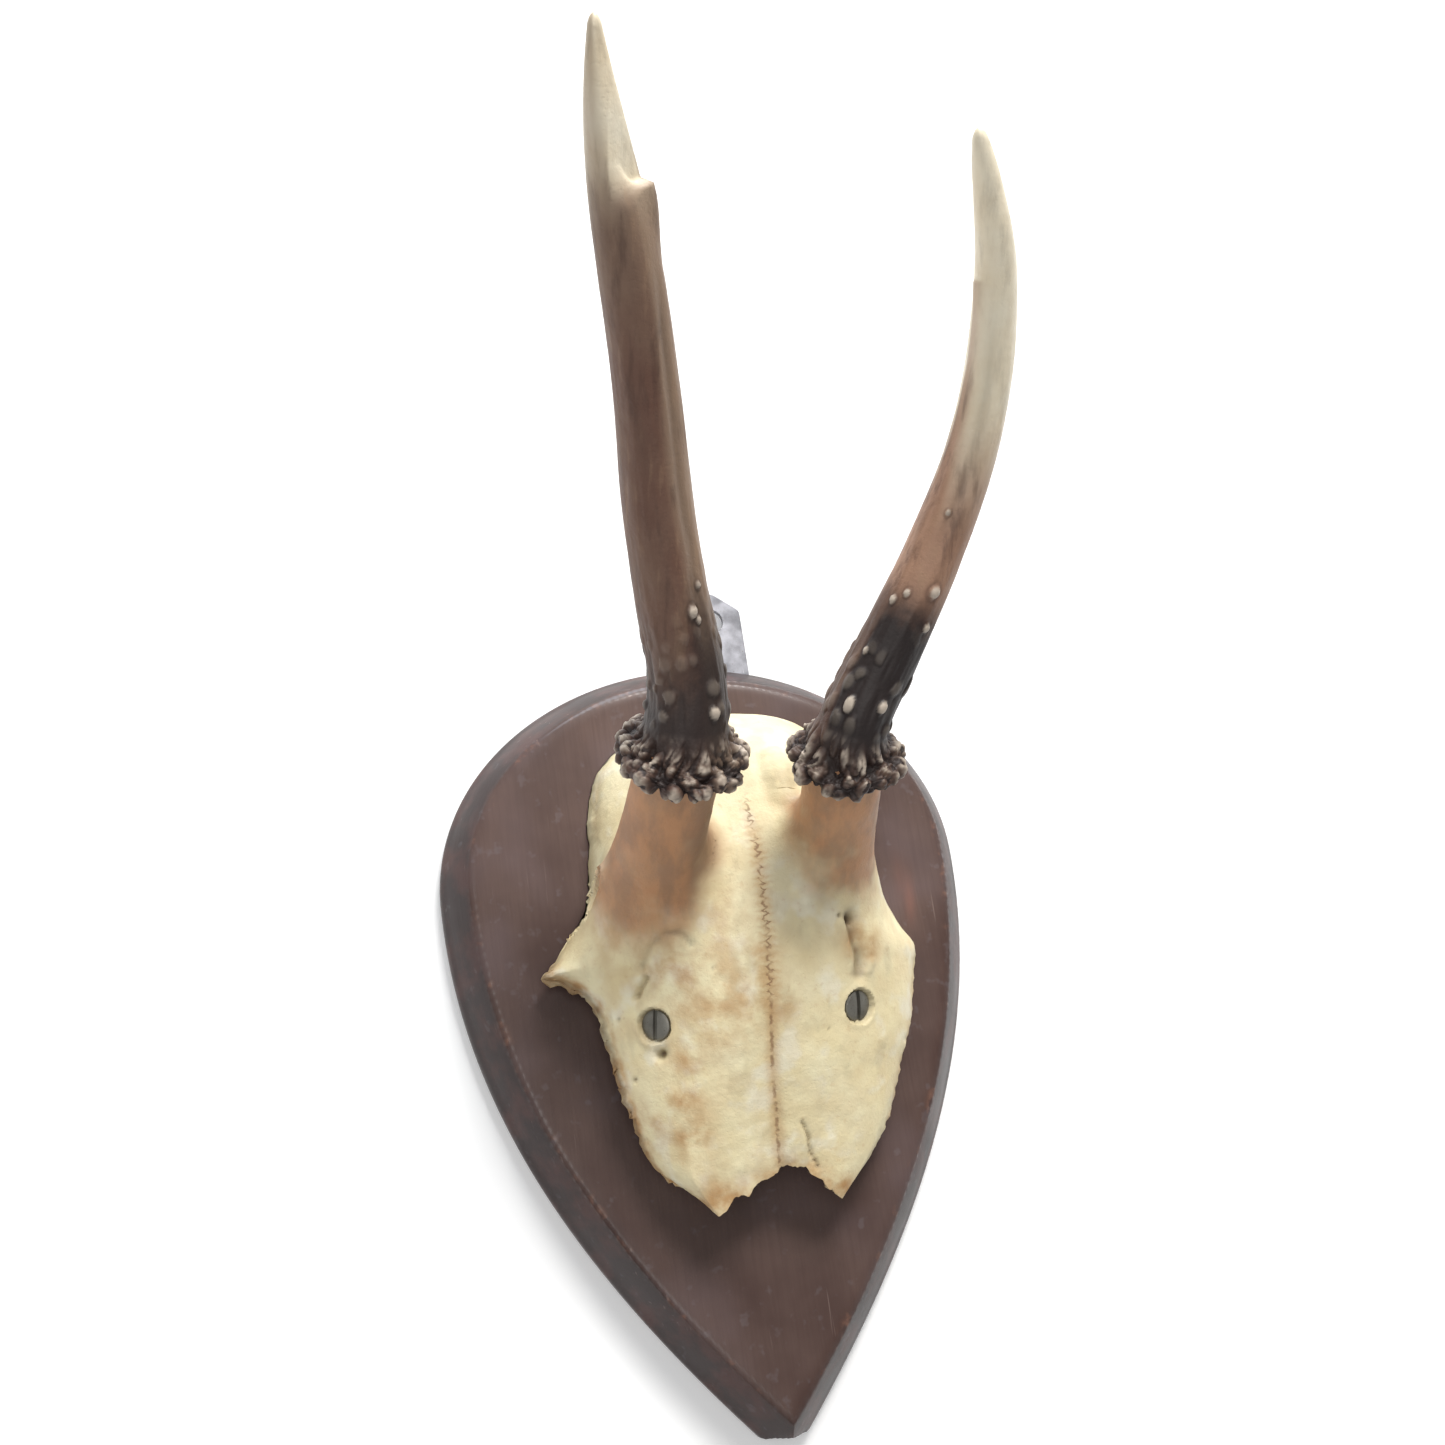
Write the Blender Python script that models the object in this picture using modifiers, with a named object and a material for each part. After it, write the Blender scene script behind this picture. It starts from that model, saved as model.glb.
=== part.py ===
"""Antler mounting plaque: a roe deer's skull cap and antlers screwed to a teardrop wooden shield.

Metres, +Z up. The shield's flat back lies in the plane Y = 0 and its front looks towards -Y. The origin is on
that back, on the shield's middle line and 74 mm below its top.
Run with: blender --background --python part.py
"""

from math import cos, pi, radians, sin

import bmesh
import bpy
import numpy as np
from mathutils import Matrix, Vector

MM = 0.001
GAP = 0.3 * MM  # left between pieces that touch
CUTTER_REACH = 14.0 * MM  # how far a cutter stands out past what it cuts

# The shield, measured to its outer edge
SHIELD_HALF_WIDTH = 62.5 * MM
SHIELD_WIDEST_Z = 22.0 * MM
SHIELD_TOP_Z = 74.0 * MM
SHIELD_TIP_Z = -109.5 * MM  # where the sides would meet
TIP_CUT = 5.9 * MM  # how far above that the point is cut off level
SHIELD_THICKNESS = 15.5 * MM
STRAIGHT_EDGE = 3.5 * MM  # the upright part of the side, behind the bevel
BEVEL_WIDTH = 6.5 * MM
SIDE_REACH = 49.0 * MM  # how far the sides run straight down before they turn in
TIP_REACH = 56.0 * MM
TIP_HALF_ANGLE = radians(42.0)
ARRIS_ROUNDING = 1.2 * MM

# The skull cap. Places on it are in its own frame, in millimetres: across, out from the shield's face, and
# along the seam towards the crown
SKULL_X = 3.3 * MM
SKULL_LEAN = radians(3.5)
BONE_WALL = 3.4 * MM
DOME_POWER = 2.3  # how square a cross-section's shoulders are
DOME_FALL = 0.62  # how steeply it meets the rim

# The antlers and what carries them, left then right as the photograph shows them
FORWARD_LEAN = radians(42.7)
ANTLER_BOW = 0.035  # how far the beam arches forward, as a share of its length
ANTLER_LENGTH = {"left": 136.0 * MM, "right": 120.5 * MM}
CORONET_PLACE = {"left": (-19.3, 56.0, 35.9), "right": (14.8, 56.0, 34.1)}
PEDICLE_FOOT = {"left": (-24.3, 9.0, 6.0), "right": (18.2, 9.0, 8.6)}
PEDICLE_RADIUS = {"left": 9.0 * MM, "right": 8.4 * MM}
CORONET_RADIUS = {"left": 13.5 * MM, "right": 12.0 * MM}
CORONET_HEIGHT = 10.5 * MM
PEARLS = 17
STUB_LENGTH = 12.5 * MM
STUB_SHARE = 0.66  # how far up the left antler its short fork stands

# The skull's screws, and where their heads are widest
SCREW_PLACE = {"left": (-24.1, 18.1, -16.4), "right": (20.7, 18.7, -15.4)}
HEAD_RADIUS = 3.5 * MM
HEAD_DOME = 1.0 * MM
HEAD_CONE = 2.2 * MM
SHANK_RADIUS = 1.9 * MM
SHANK_POINT = 3.0 * MM
WOOD_BEHIND_POINT = 6.5 * MM
SLOT_WIDTH = 1.0 * MM
SLOT_DEPTH = 1.3 * MM
SLOT_TURN = {"left": radians(12.0), "right": radians(-2.0)}

# The hanging strip, let into the back of the shield, and the screws that hold it there
HANGER_X = 11.0 * MM
HANGER_WIDTH = 16.0 * MM
HANGER_THICKNESS = 1.5 * MM
HANGER_RISE = 20.0 * MM  # how far it stands above the shield
HANGER_LENGTH = 52.0 * MM
HANGER_CLIP = 5.0 * MM
CLIP_SLOPE = 1.3  # the clipped corner's width for each unit of its height
NAIL_HOLE_RADIUS = 3.4 * MM
NAIL_HOLE_BELOW_TOP = 7.5 * MM
HANGER_HEAD_RADIUS = 3.0 * MM
HANGER_HEAD_HEIGHT = 0.9 * MM
HANGER_HEAD_TAPER = 0.86
HANGER_SHANK_RADIUS = 1.3 * MM
HANGER_SLOT_WIDTH = 0.8 * MM
WOOD_BEFORE_POINT = 4.5 * MM
BACK_CLEARANCE = 0.3 * MM  # between the screw heads and the plane of the shield's back
HANGER_SCREW_SHARES = {"hanger_screw_upper": 0.62, "hanger_screw_lower": 0.19}  # of its sunk length

HANGER_TOP_Z = SHIELD_TOP_Z + HANGER_RISE
HANGER_BOTTOM_Z = HANGER_TOP_Z - HANGER_LENGTH
HANGER_FRONT_Y = -(HANGER_THICKNESS + GAP + HANGER_HEAD_HEIGHT + BACK_CLEARANCE)
HANGER_POINT_Y = WOOD_BEFORE_POINT - SHIELD_THICKNESS
HANGER_SCREWS = {
    name: HANGER_BOTTOM_Z + share * (SHIELD_TOP_Z - HANGER_BOTTOM_Z)
    for name, share in HANGER_SCREW_SHARES.items()
}

WOOD_BROWN = (0.105, 0.070, 0.058, 1.0)
BONE_CREAM = (0.74, 0.66, 0.44, 1.0)
SCREW_GREY = (0.30, 0.29, 0.26, 1.0)
ZINC_GREY = (0.42, 0.42, 0.43, 1.0)


def clear_scene():
    for obj in list(bpy.data.objects):
        bpy.data.objects.remove(obj, do_unlink=True)


def new_collection(name):
    made = bpy.data.collections.new(name)
    bpy.context.scene.collection.children.link(made)
    return made


def new_material(name, colour, roughness, metallic):
    made = bpy.data.materials.new(name)
    made.use_nodes = True
    shader = made.node_tree.nodes["Principled BSDF"]
    shader.inputs["Base Color"].default_value = colour
    shader.inputs["Roughness"].default_value = roughness
    shader.inputs["Metallic"].default_value = metallic
    return made


def object_from_bmesh(bm, name, home):
    bmesh.ops.recalc_face_normals(bm, faces=bm.faces)
    mesh = bpy.data.meshes.new(name)
    bm.to_mesh(mesh)
    bm.free()
    obj = bpy.data.objects.new(name, mesh)
    home.objects.link(obj)
    return obj


def dress(obj, material, sharp_degrees=35.0):
    obj.data.materials.clear()
    obj.data.materials.append(material)
    obj.data.shade_smooth()
    obj.data.set_sharp_from_angle(angle=radians(sharp_degrees))


def make_cutter(obj):
    obj.hide_render = True
    obj.display_type = "WIRE"


def add_boolean(obj, others, operation, solver="EXACT"):
    """One Boolean with every object of the list, which lie in a collection of their own."""
    group = bpy.data.collections.new(f"{obj.name} {operation.lower()}")
    bpy.data.collections["Cutters"].children.link(group)
    for other in others:
        make_cutter(other)
        bpy.data.collections["Cutters"].objects.unlink(other)
        group.objects.link(other)
    modifier = obj.modifiers.new(operation.title(), "BOOLEAN")
    modifier.operation = operation
    modifier.solver = solver
    modifier.operand_type = "COLLECTION"
    modifier.collection = group


def cylinder(name, home, radius, y_from, y_to, x, z, top_radius=None, sides=24):
    """A cylinder or cone along Y; radius is at y_from and top_radius at y_to."""
    bm = bmesh.new()
    bmesh.ops.create_cone(
        bm,
        cap_ends=True,
        segments=sides,
        radius1=radius,
        radius2=radius if top_radius is None else top_radius,
        depth=abs(y_to - y_from),
    )
    turn = Matrix.Rotation(-pi / 2 if y_to > y_from else pi / 2, 4, "X")
    bmesh.ops.transform(bm, matrix=turn, verts=bm.verts)
    bmesh.ops.translate(bm, vec=(x, (y_from + y_to) / 2, z), verts=bm.verts)
    return object_from_bmesh(bm, name, home)


def box(name, home, low, high):
    bm = bmesh.new()
    bmesh.ops.create_cube(bm, size=1.0)
    size = Vector(high) - Vector(low)
    bmesh.ops.scale(bm, vec=size, verts=bm.verts)
    bmesh.ops.translate(bm, vec=(Vector(high) + Vector(low)) / 2, verts=bm.verts)
    return object_from_bmesh(bm, name, home)


def loft(name, home, rings):
    """A closed form through rings of equal point counts, with a flat cap at each end."""
    bm = bmesh.new()
    rows = [[bm.verts.new(point) for point in ring] for ring in rings]
    for lower, upper in zip(rows, rows[1:]):
        for i in range(len(lower)):
            j = (i + 1) % len(lower)
            bm.faces.new((lower[i], lower[j], upper[j], upper[i]))
    bm.faces.new(rows[0])
    bm.faces.new(rows[-1])
    return object_from_bmesh(bm, name, home)


def smooth_through(shares, values, at):
    """A curve through the given values that eases between them: cubic Hermite with central slopes."""
    shares, values = np.asarray(shares, float), np.asarray(values, float)
    slopes = np.gradient(values, shares)
    i = np.clip(np.searchsorted(shares, at, side="right") - 1, 0, len(shares) - 2)
    span = shares[i + 1] - shares[i]
    t = (at - shares[i]) / span
    return (
        (2 * t**3 - 3 * t**2 + 1) * values[i]
        + (t**3 - 2 * t**2 + t) * span * slopes[i]
        + (3 * t**2 - 2 * t**3) * values[i + 1]
        + (t**3 - t**2) * span * slopes[i + 1]
    )


def swept_rings(path, radii, sides, section=None):
    """Rings square to a path; section(angle, ring) scales the radius at an angle of one ring."""
    path = [Vector(point) for point in path]
    angles = [2 * pi * i / sides for i in range(sides)]
    rings = []
    across = Vector((1, 0, 0))
    for k, point in enumerate(path):
        along = (path[min(k + 1, len(path) - 1)] - path[max(k - 1, 0)]).normalized()
        across = (across - across.dot(along) * along).normalized()
        up = along.cross(across)
        ring = []
        for angle in angles:
            reach = radii[k] * (section(angle, k) if section else 1.0)
            ring.append(point + reach * (cos(angle) * across + sin(angle) * up))
        rings.append(ring)
    return rings


def shield_outline(inset):
    """The outline drawn in by an inset: a quarter ellipse over the top, then a Bezier down to the point,
    which is cut off level."""
    half_width = SHIELD_HALF_WIDTH - inset
    rise = SHIELD_TOP_Z - SHIELD_WIDEST_Z - inset
    top = [
        Vector((half_width * sin(a), SHIELD_WIDEST_Z + rise * cos(a)))
        for a in (i * pi / 2 / 18 for i in range(19))
    ]
    shoulder = top[-1]
    tip = Vector((0.0, SHIELD_TIP_Z + inset / sin(TIP_HALF_ANGLE)))
    shrink = (shoulder.y - tip.y) / (SHIELD_WIDEST_Z - SHIELD_TIP_Z)
    below = shoulder - Vector((0.0, SIDE_REACH * shrink))
    above_tip = tip + TIP_REACH * shrink * Vector((sin(TIP_HALF_ANGLE), cos(TIP_HALF_ANGLE)))
    side = [
        (1 - t) ** 2 * ((1 - t) * shoulder + 3 * t * below) + t**2 * (3 * (1 - t) * above_tip + t * tip)
        for t in (i / 20 for i in range(1, 21))
    ]
    half = [Vector((point.x, max(point.y, SHIELD_TIP_Z + TIP_CUT))) for point in top + side]
    return half + [Vector((-point.x, point.y)) for point in reversed(half[1:-1])]


def make_shield(parts, cutters, wood):
    """One board: a straight side behind, and a slanted bevel in front that ends in a softened arris."""
    face_y = -SHIELD_THICKNESS
    profile = (
        (0.0, 0.0),
        (-STRAIGHT_EDGE, 0.0),
        (face_y + ARRIS_ROUNDING, BEVEL_WIDTH - 0.5 * ARRIS_ROUNDING),
        (face_y + 0.3 * ARRIS_ROUNDING, BEVEL_WIDTH + 0.2 * ARRIS_ROUNDING),
        (face_y, BEVEL_WIDTH + ARRIS_ROUNDING),
    )
    rings = [[(p.x, y, p.y) for p in shield_outline(inset)] for y, inset in profile]
    shield = loft("shield", parts, rings)
    recess = box(
        "hanger_recess",
        cutters,
        (
            HANGER_X - HANGER_WIDTH / 2 - GAP,
            HANGER_FRONT_Y - GAP,
            HANGER_BOTTOM_Z - GAP,
        ),
        (HANGER_X + HANGER_WIDTH / 2 + GAP, CUTTER_REACH, SHIELD_TOP_Z + CUTTER_REACH),
    )
    holes = [recess]
    for side_name in SCREW_PLACE:
        place = on_skull(SCREW_PLACE[side_name])
        hole = cylinder(
            f"skull_screw_pilot_{side_name}",
            cutters,
            SHANK_RADIUS + GAP,
            face_y - 2 * MM,
            -WOOD_BEHIND_POINT + GAP,
            place.x,
            place.z,
        )
        holes.append(hole)
    for name, height in HANGER_SCREWS.items():
        hole = cylinder(
            f"{name}_pilot",
            cutters,
            HANGER_SHANK_RADIUS + GAP,
            HANGER_FRONT_Y + MM,
            HANGER_POINT_Y - GAP,
            HANGER_X,
            height,
            sides=16,
        )
        holes.append(hole)
    add_boolean(shield, holes, "DIFFERENCE")
    dress(shield, wood)
    return shield


def skull_point(across, out, along):
    """From the skull cap's own frame to the world's."""
    return Vector(
        (
            SKULL_X + across * cos(SKULL_LEAN) + along * sin(SKULL_LEAN),
            -SHIELD_THICKNESS - out,
            -across * sin(SKULL_LEAN) + along * cos(SKULL_LEAN),
        )
    )


def on_skull(place):
    return skull_point(*(value * MM for value in place))


def skull_rows():
    """The cap's cross-sections from the nose's cut to the crown, in millimetres: how far along the seam, the
    half width to the left and right, how far the seam stands out, and how far each rim does."""
    return np.array(
        [
            (-50.0, 18.0, 18.0, 14.0, 7.0, 6.0),
            (-45.0, 24.3, 23.5, 16.0, 7.0, 6.0),
            (-38.0, 28.3, 28.5, 18.5, 8.0, 7.0),
            (-30.0, 31.5, 31.5, 21.5, 9.0, 8.0),
            (-20.0, 34.0, 35.0, 25.0, 9.0, 9.0),
            (-11.0, 35.5, 37.5, 27.5, 8.0, 8.0),
            (-6.0, 38.0, 39.0, 28.5, 5.0, 6.0),
            (-1.0, 42.5, 40.3, 29.2, 2.0, 4.0),
            (4.0, 40.0, 38.0, 29.8, 1.0, 2.0),
            (10.0, 35.2, 34.8, 30.4, -1.5, -1.5),
            (25.0, 33.6, 34.0, 30.0, -1.5, -1.5),
            (36.0, 32.8, 33.0, 27.0, -1.5, -1.5),
            (45.0, 30.0, 29.5, 22.5, -1.5, -1.5),
            (51.0, 24.0, 24.0, 17.0, -1.5, -1.5),
            (55.5, 16.0, 16.5, 10.5, -1.5, -1.5),
            (58.0, 6.0, 6.0, 1.5, -1.5, -1.5),
        ]
    )


def nose_cut(share_across):
    """How far past the last full cross-section the broken nasal edge reaches, by share across (-1 to 1)."""
    shares = (-1.0, -0.86, -0.68, -0.5, -0.3, 0.0, 0.18, 0.42, 0.7, 0.88, 1.0)
    reach = (0.5, 3.0, 6.4, 3.0, 1.8, -0.5, -2.0, -2.5, 3.0, 5.0, 2.0)
    return float(np.interp(share_across, shares, reach)) * MM


def make_cap(parts, cutters):
    """The bone shell: a dome over each cross-section, thickened inwards and cut level with the shield."""
    rows = skull_rows()
    steps_along, steps_across = 25, 22
    along = np.linspace(rows[0, 0], rows[-1, 0], steps_along)
    left, right, crown, rim_left, rim_right = (
        (np.interp(along, rows[:, 0], rows[:, k]) * MM).tolist() for k in range(1, 6)
    )
    along = along.tolist()
    share = np.sin(np.linspace(-pi / 2, pi / 2, steps_across)).tolist()
    bm = bmesh.new()
    grid = []
    for j in range(steps_along):
        fade = max(0.0, 1.0 - j / 5.0)
        line = []
        for s in share:
            half = left[j] if s < 0 else right[j]
            rim = rim_left[j] if s < 0 else rim_right[j]
            dome = (1.0 - abs(s) ** DOME_POWER) ** DOME_FALL
            reach = along[j] * MM - fade * nose_cut(s)
            line.append(bm.verts.new(skull_point(s * half, rim + (crown[j] - rim) * dome, reach)))
        grid.append(line)
    for lower, upper in zip(grid, grid[1:]):
        for i in range(steps_across - 1):
            bm.faces.new((lower[i], lower[i + 1], upper[i + 1], upper[i]))
    cap = object_from_bmesh(bm, "skull_with_antlers", parts)
    facing = sum((face.normal.y * face.area for face in cap.data.polygons))
    if facing > 0:
        cap.data.flip_normals()
    shell = cap.modifiers.new("Bone wall", "SOLIDIFY")
    shell.thickness = BONE_WALL
    shell.offset = -1.0
    shell.use_even_offset = False
    level = box(
        "shield_face",
        cutters,
        (-SHIELD_HALF_WIDTH, -SHIELD_THICKNESS - GAP, SHIELD_TIP_Z),
        (SHIELD_HALF_WIDTH, SHIELD_THICKNESS, SHIELD_TOP_Z),
    )
    add_boolean(cap, [level], "DIFFERENCE")
    return cap


def antler_point(side, share, sideways):
    """A place on the antler's middle line: a share of its length up the lean, and one to the side."""
    length = ANTLER_LENGTH[side]
    direction = Vector((0.0, -sin(FORWARD_LEAN), cos(FORWARD_LEAN)))
    square = Vector((0.0, cos(FORWARD_LEAN), sin(FORWARD_LEAN)))
    bow = ANTLER_BOW * length * sin(pi * share) * square
    aside = Vector((sideways * length, 0.0, 0.0))
    return on_skull(CORONET_PLACE[side]) + share * length * direction + aside + bow


# Share of the antler's length, share of it to the side, and radius in millimetres
BEAMS = {
    "left": (
        (0.0, 0.0, 8.6),
        (0.10, 0.004, 7.9),
        (0.22, -0.014, 7.3),
        (0.35, -0.032, 6.9),
        (0.53, -0.049, 6.3),
        (0.70, -0.064, 5.8),
        (0.80, -0.092, 4.8),
        (0.87, -0.104, 3.7),
        (0.94, -0.113, 2.0),
        (1.0, -0.118, 0.5),
    ),
    "right": (
        (0.0, 0.0, 7.6),
        (0.08, 0.028, 7.1),
        (0.20, 0.084, 6.5),
        (0.32, 0.137, 6.0),
        (0.52, 0.199, 5.1),
        (0.70, 0.211, 4.4),
        (0.81, 0.201, 3.8),
        (0.90, 0.179, 2.8),
        (0.96, 0.161, 1.7),
        (1.0, 0.149, 0.5),
    ),
}


def make_beam(side, cutters):
    """Pedicle and beam as one swept form, which starts inside the bone and ends at the antler's point."""
    stations = BEAMS[side]
    shares = [s[0] for s in stations]
    at = np.linspace(0.0, 1.0, 25)
    sideways = smooth_through(shares, [s[1] for s in stations], at).tolist()
    radii = (smooth_through(shares, [s[2] for s in stations], at) * MM).tolist()
    at = at.tolist()
    path = [antler_point(side, share, aside) for share, aside in zip(at, sideways)]
    root, neck = on_skull(PEDICLE_FOOT[side]), on_skull(CORONET_PLACE[side])
    base = PEDICLE_RADIUS[side]
    lower = [root.lerp(neck, share) for share in (0.0, 0.17, 0.34, 0.5, 0.66, 0.83)]
    lower_radii = [base * swell for swell in (1.34, 1.30, 1.20, 1.09, 1.01, 0.98)]

    def ribbed(angle, k):
        return 1.0 + 0.022 * sin(5 * angle + 0.35 * k) + 0.014 * sin(9 * angle - 0.6 * k)

    rings = swept_rings(lower + path, lower_radii + list(radii), 20, ribbed)
    return loft(f"beam_{side}", cutters, rings)


def make_coronet(side, cutters):
    """The burr: a low turned swelling whose rim is broken into pearls."""
    centre = on_skull(CORONET_PLACE[side])
    pedicle = (centre - on_skull(PEDICLE_FOOT[side])).normalized()
    antler = (antler_point(side, 0.1, BEAMS[side][1][1]) - centre).normalized()
    axis = (3 * pedicle + antler).normalized()
    profile = ((-0.5, 0.62), (-0.42, 0.86), (-0.18, 0.97), (0.06, 1.0), (0.30, 0.88), (0.50, 0.62))
    path = [centre + axis * CORONET_HEIGHT * place for place, _ in profile]
    radii = [CORONET_RADIUS[side] * share for _, share in profile]

    def pearled(angle, k):
        strength = (0.0, 0.06, 0.085, 0.085, 0.06, 0.0)[k]
        wander = 0.5 * sin(3 * angle + k)
        return 1.0 + strength * sin(PEARLS * angle + wander) + 0.02 * sin(2 * angle)

    return loft(f"coronet_{side}", cutters, swept_rings(path, radii, 3 * PEARLS, pearled))


def make_spur(name, cutters, stations, sides=12):
    """A short tapering process through (across, out, along, radius) stations in the skull's frame."""
    path = [on_skull(station[:3]) for station in stations]
    radii = [station[3] * MM for station in stations]
    return loft(name, cutters, swept_rings(path, radii, sides))


def make_stub(cutters):
    """The short fork on the front of the left antler, hooked upwards."""
    shares, aside, radii = zip(*BEAMS["left"])
    middle = antler_point("left", STUB_SHARE, float(np.interp(STUB_SHARE, shares, aside)))
    foot = middle - Vector((0.0, 1.1 * float(np.interp(STUB_SHARE, shares, radii)) * MM, 0.0))
    steps = ((0.0, 0.0, 0.0), (0.14, -0.20, 0.40), (0.18, -0.32, 0.70), (0.22, -0.44, 0.95))
    path = [foot + Vector(step) * STUB_LENGTH for step in steps]
    swell = [STUB_LENGTH * share for share in (0.37, 0.26, 0.15, 0.06)]
    return loft("stub", cutters, swept_rings(path, swell, 14))


def make_skull(parts, cutters, bone):
    """One natural piece: cap, brow processes, pedicles, coronets and antlers."""
    skull = make_cap(parts, cutters)
    additions = []
    for side in ("left", "right"):
        additions.append(make_beam(side, cutters))
        additions.append(make_coronet(side, cutters))
    additions.append(make_stub(cutters))
    left_brow = (
        (-24.0, 15.0, 11.0, 6.0),
        (-33.0, 12.0, 8.0, 4.6),
        (-39.5, 8.8, 3.4, 3.0),
        (-44.0, 6.4, 0.2, 1.7),
        (-46.8, 5.4, -2.6, 0.5),
    )
    additions.append(make_spur("brow_left", cutters, left_brow))
    add_boolean(skull, additions, "UNION", "MANIFOLD")
    bores = []
    for side in SCREW_PLACE:
        place = on_skull(SCREW_PLACE[side])
        shank = cylinder(
            f"skull_screw_bore_{side}",
            cutters,
            SHANK_RADIUS + GAP,
            place.y - MM,
            -SHIELD_THICKNESS + MM,
            place.x,
            place.z,
        )
        sink = cylinder(
            f"skull_screw_sink_{side}",
            cutters,
            HEAD_RADIUS + GAP,
            place.y,
            place.y + HEAD_CONE,
            place.x,
            place.z,
            top_radius=SHANK_RADIUS + GAP,
        )
        spot = cylinder(
            f"skull_screw_spot_{side}",
            cutters,
            HEAD_RADIUS + GAP,
            place.y + 0.01 * MM,
            place.y - CUTTER_REACH,
            place.x,
            place.z,
        )
        bores += [shank, sink, spot]
    add_boolean(skull, bores, "DIFFERENCE", "MANIFOLD")
    dress(skull, bone, 50.0)
    return skull


def make_skull_screw(side, parts, cutters, steel):
    """A slotted oval-headed countersunk screw: a turned profile from the dome's middle to the blunt point."""
    place = on_skull(SCREW_PLACE[side])
    length = -WOOD_BEHIND_POINT - place.y
    dome = [
        (HEAD_RADIUS * sin(a), -HEAD_DOME * cos(a))
        for a in (i * pi / 2 / 4 for i in range(5))
    ]
    shank = [(SHANK_RADIUS, HEAD_CONE), (SHANK_RADIUS, length - SHANK_POINT), (0.0, length)]
    profile = dome + shank
    bm = bmesh.new()
    points = [bm.verts.new((radius, 0.0, -depth)) for radius, depth in profile]
    for above, below in zip(points, points[1:]):
        bm.edges.new((above, below))
    bmesh.ops.spin(
        bm,
        geom=list(bm.verts) + list(bm.edges),
        cent=(0, 0, 0),
        axis=(0, 0, 1),
        angle=2 * pi,
        steps=20,
        use_merge=True,
    )
    bmesh.ops.remove_doubles(bm, verts=bm.verts, dist=0.001 * MM)
    bmesh.ops.transform(bm, matrix=Matrix.Rotation(pi / 2, 4, "X"), verts=bm.verts)
    screw = object_from_bmesh(bm, f"skull_screw_{side}", parts)
    screw.location = place
    slot = box(
        f"skull_screw_slot_{side}",
        cutters,
        (-SLOT_WIDTH / 2, -HEAD_DOME - MM, -2 * HEAD_RADIUS),
        (SLOT_WIDTH / 2, -HEAD_DOME + SLOT_DEPTH, 2 * HEAD_RADIUS),
    )
    slot.location = place
    slot.rotation_euler = (0.0, SLOT_TURN[side], 0.0)
    add_boolean(screw, [slot], "DIFFERENCE")
    dress(screw, steel)
    return screw


def make_hanger(parts, cutters, zinc):
    """A flat strip with its upper corners clipped, a nail hole near the top and two fixing holes."""
    half = HANGER_WIDTH / 2
    top, bottom = HANGER_TOP_Z, HANGER_BOTTOM_Z
    narrow = half - HANGER_CLIP * CLIP_SLOPE
    outline = [
        (-half, bottom),
        (half, bottom),
        (half, top - HANGER_CLIP),
        (narrow, top),
        (-narrow, top),
        (-half, top - HANGER_CLIP),
    ]
    bm = bmesh.new()
    front = bm.faces.new([bm.verts.new((HANGER_X + x, HANGER_FRONT_Y, z)) for x, z in outline])
    moved = bmesh.ops.extrude_face_region(bm, geom=[front])["geom"]
    back = [v for v in moved if isinstance(v, bmesh.types.BMVert)]
    bmesh.ops.translate(bm, vec=(0, HANGER_THICKNESS, 0), verts=back)
    strip = object_from_bmesh(bm, "hanger", parts)
    holes = {"nail_hole": (top - NAIL_HOLE_BELOW_TOP, NAIL_HOLE_RADIUS)}
    for name, height in HANGER_SCREWS.items():
        holes[f"{name}_hole"] = (height, HANGER_SHANK_RADIUS + GAP)
    drills = [
        cylinder(name, cutters, radius, -6 * MM, 3 * MM, HANGER_X, height, sides=24)
        for name, (height, radius) in holes.items()
    ]
    add_boolean(strip, drills, "DIFFERENCE")
    dress(strip, zinc)
    return strip


def make_hanger_screw(name, height, parts, cutters, steel):
    """A flat-headed wood screw that holds the strip in its recess."""
    seat = HANGER_FRONT_Y + HANGER_THICKNESS + GAP
    crown = seat + HANGER_HEAD_HEIGHT
    head = cylinder(
        name,
        parts,
        HANGER_HEAD_RADIUS,
        seat,
        crown,
        HANGER_X,
        height,
        top_radius=HANGER_HEAD_RADIUS * HANGER_HEAD_TAPER,
    )
    shank = cylinder(
        f"{name}_shank",
        cutters,
        HANGER_SHANK_RADIUS,
        HANGER_POINT_Y,
        seat + HANGER_HEAD_HEIGHT / 2,
        HANGER_X,
        height,
        sides=16,
    )
    slot = box(
        f"{name}_slot",
        cutters,
        (HANGER_X - HANGER_SLOT_WIDTH / 2, seat + HANGER_HEAD_HEIGHT * 0.45, height - 2 * HANGER_HEAD_RADIUS),
        (HANGER_X + HANGER_SLOT_WIDTH / 2, crown + MM, height + 2 * HANGER_HEAD_RADIUS),
    )
    add_boolean(head, [shank], "UNION")
    add_boolean(head, [slot], "DIFFERENCE")
    dress(head, steel)
    return head


def main():
    clear_scene()
    parts = new_collection("Antler mounting plaque")
    cutters = new_collection("Cutters")
    wood = new_material("Stained wood", WOOD_BROWN, 0.4, 0.0)
    bone = new_material("Bone and antler", BONE_CREAM, 0.6, 0.0)
    steel = new_material("Dull steel", SCREW_GREY, 0.45, 1.0)
    zinc = new_material("Zinc plate", ZINC_GREY, 0.5, 1.0)
    make_shield(parts, cutters, wood)
    make_skull(parts, cutters, bone)
    for side in SCREW_PLACE:
        make_skull_screw(side, parts, cutters, steel)
    make_hanger(parts, cutters, zinc)
    for name, height in HANGER_SCREWS.items():
        make_hanger_screw(name, height, parts, cutters, steel)


main()
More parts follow.
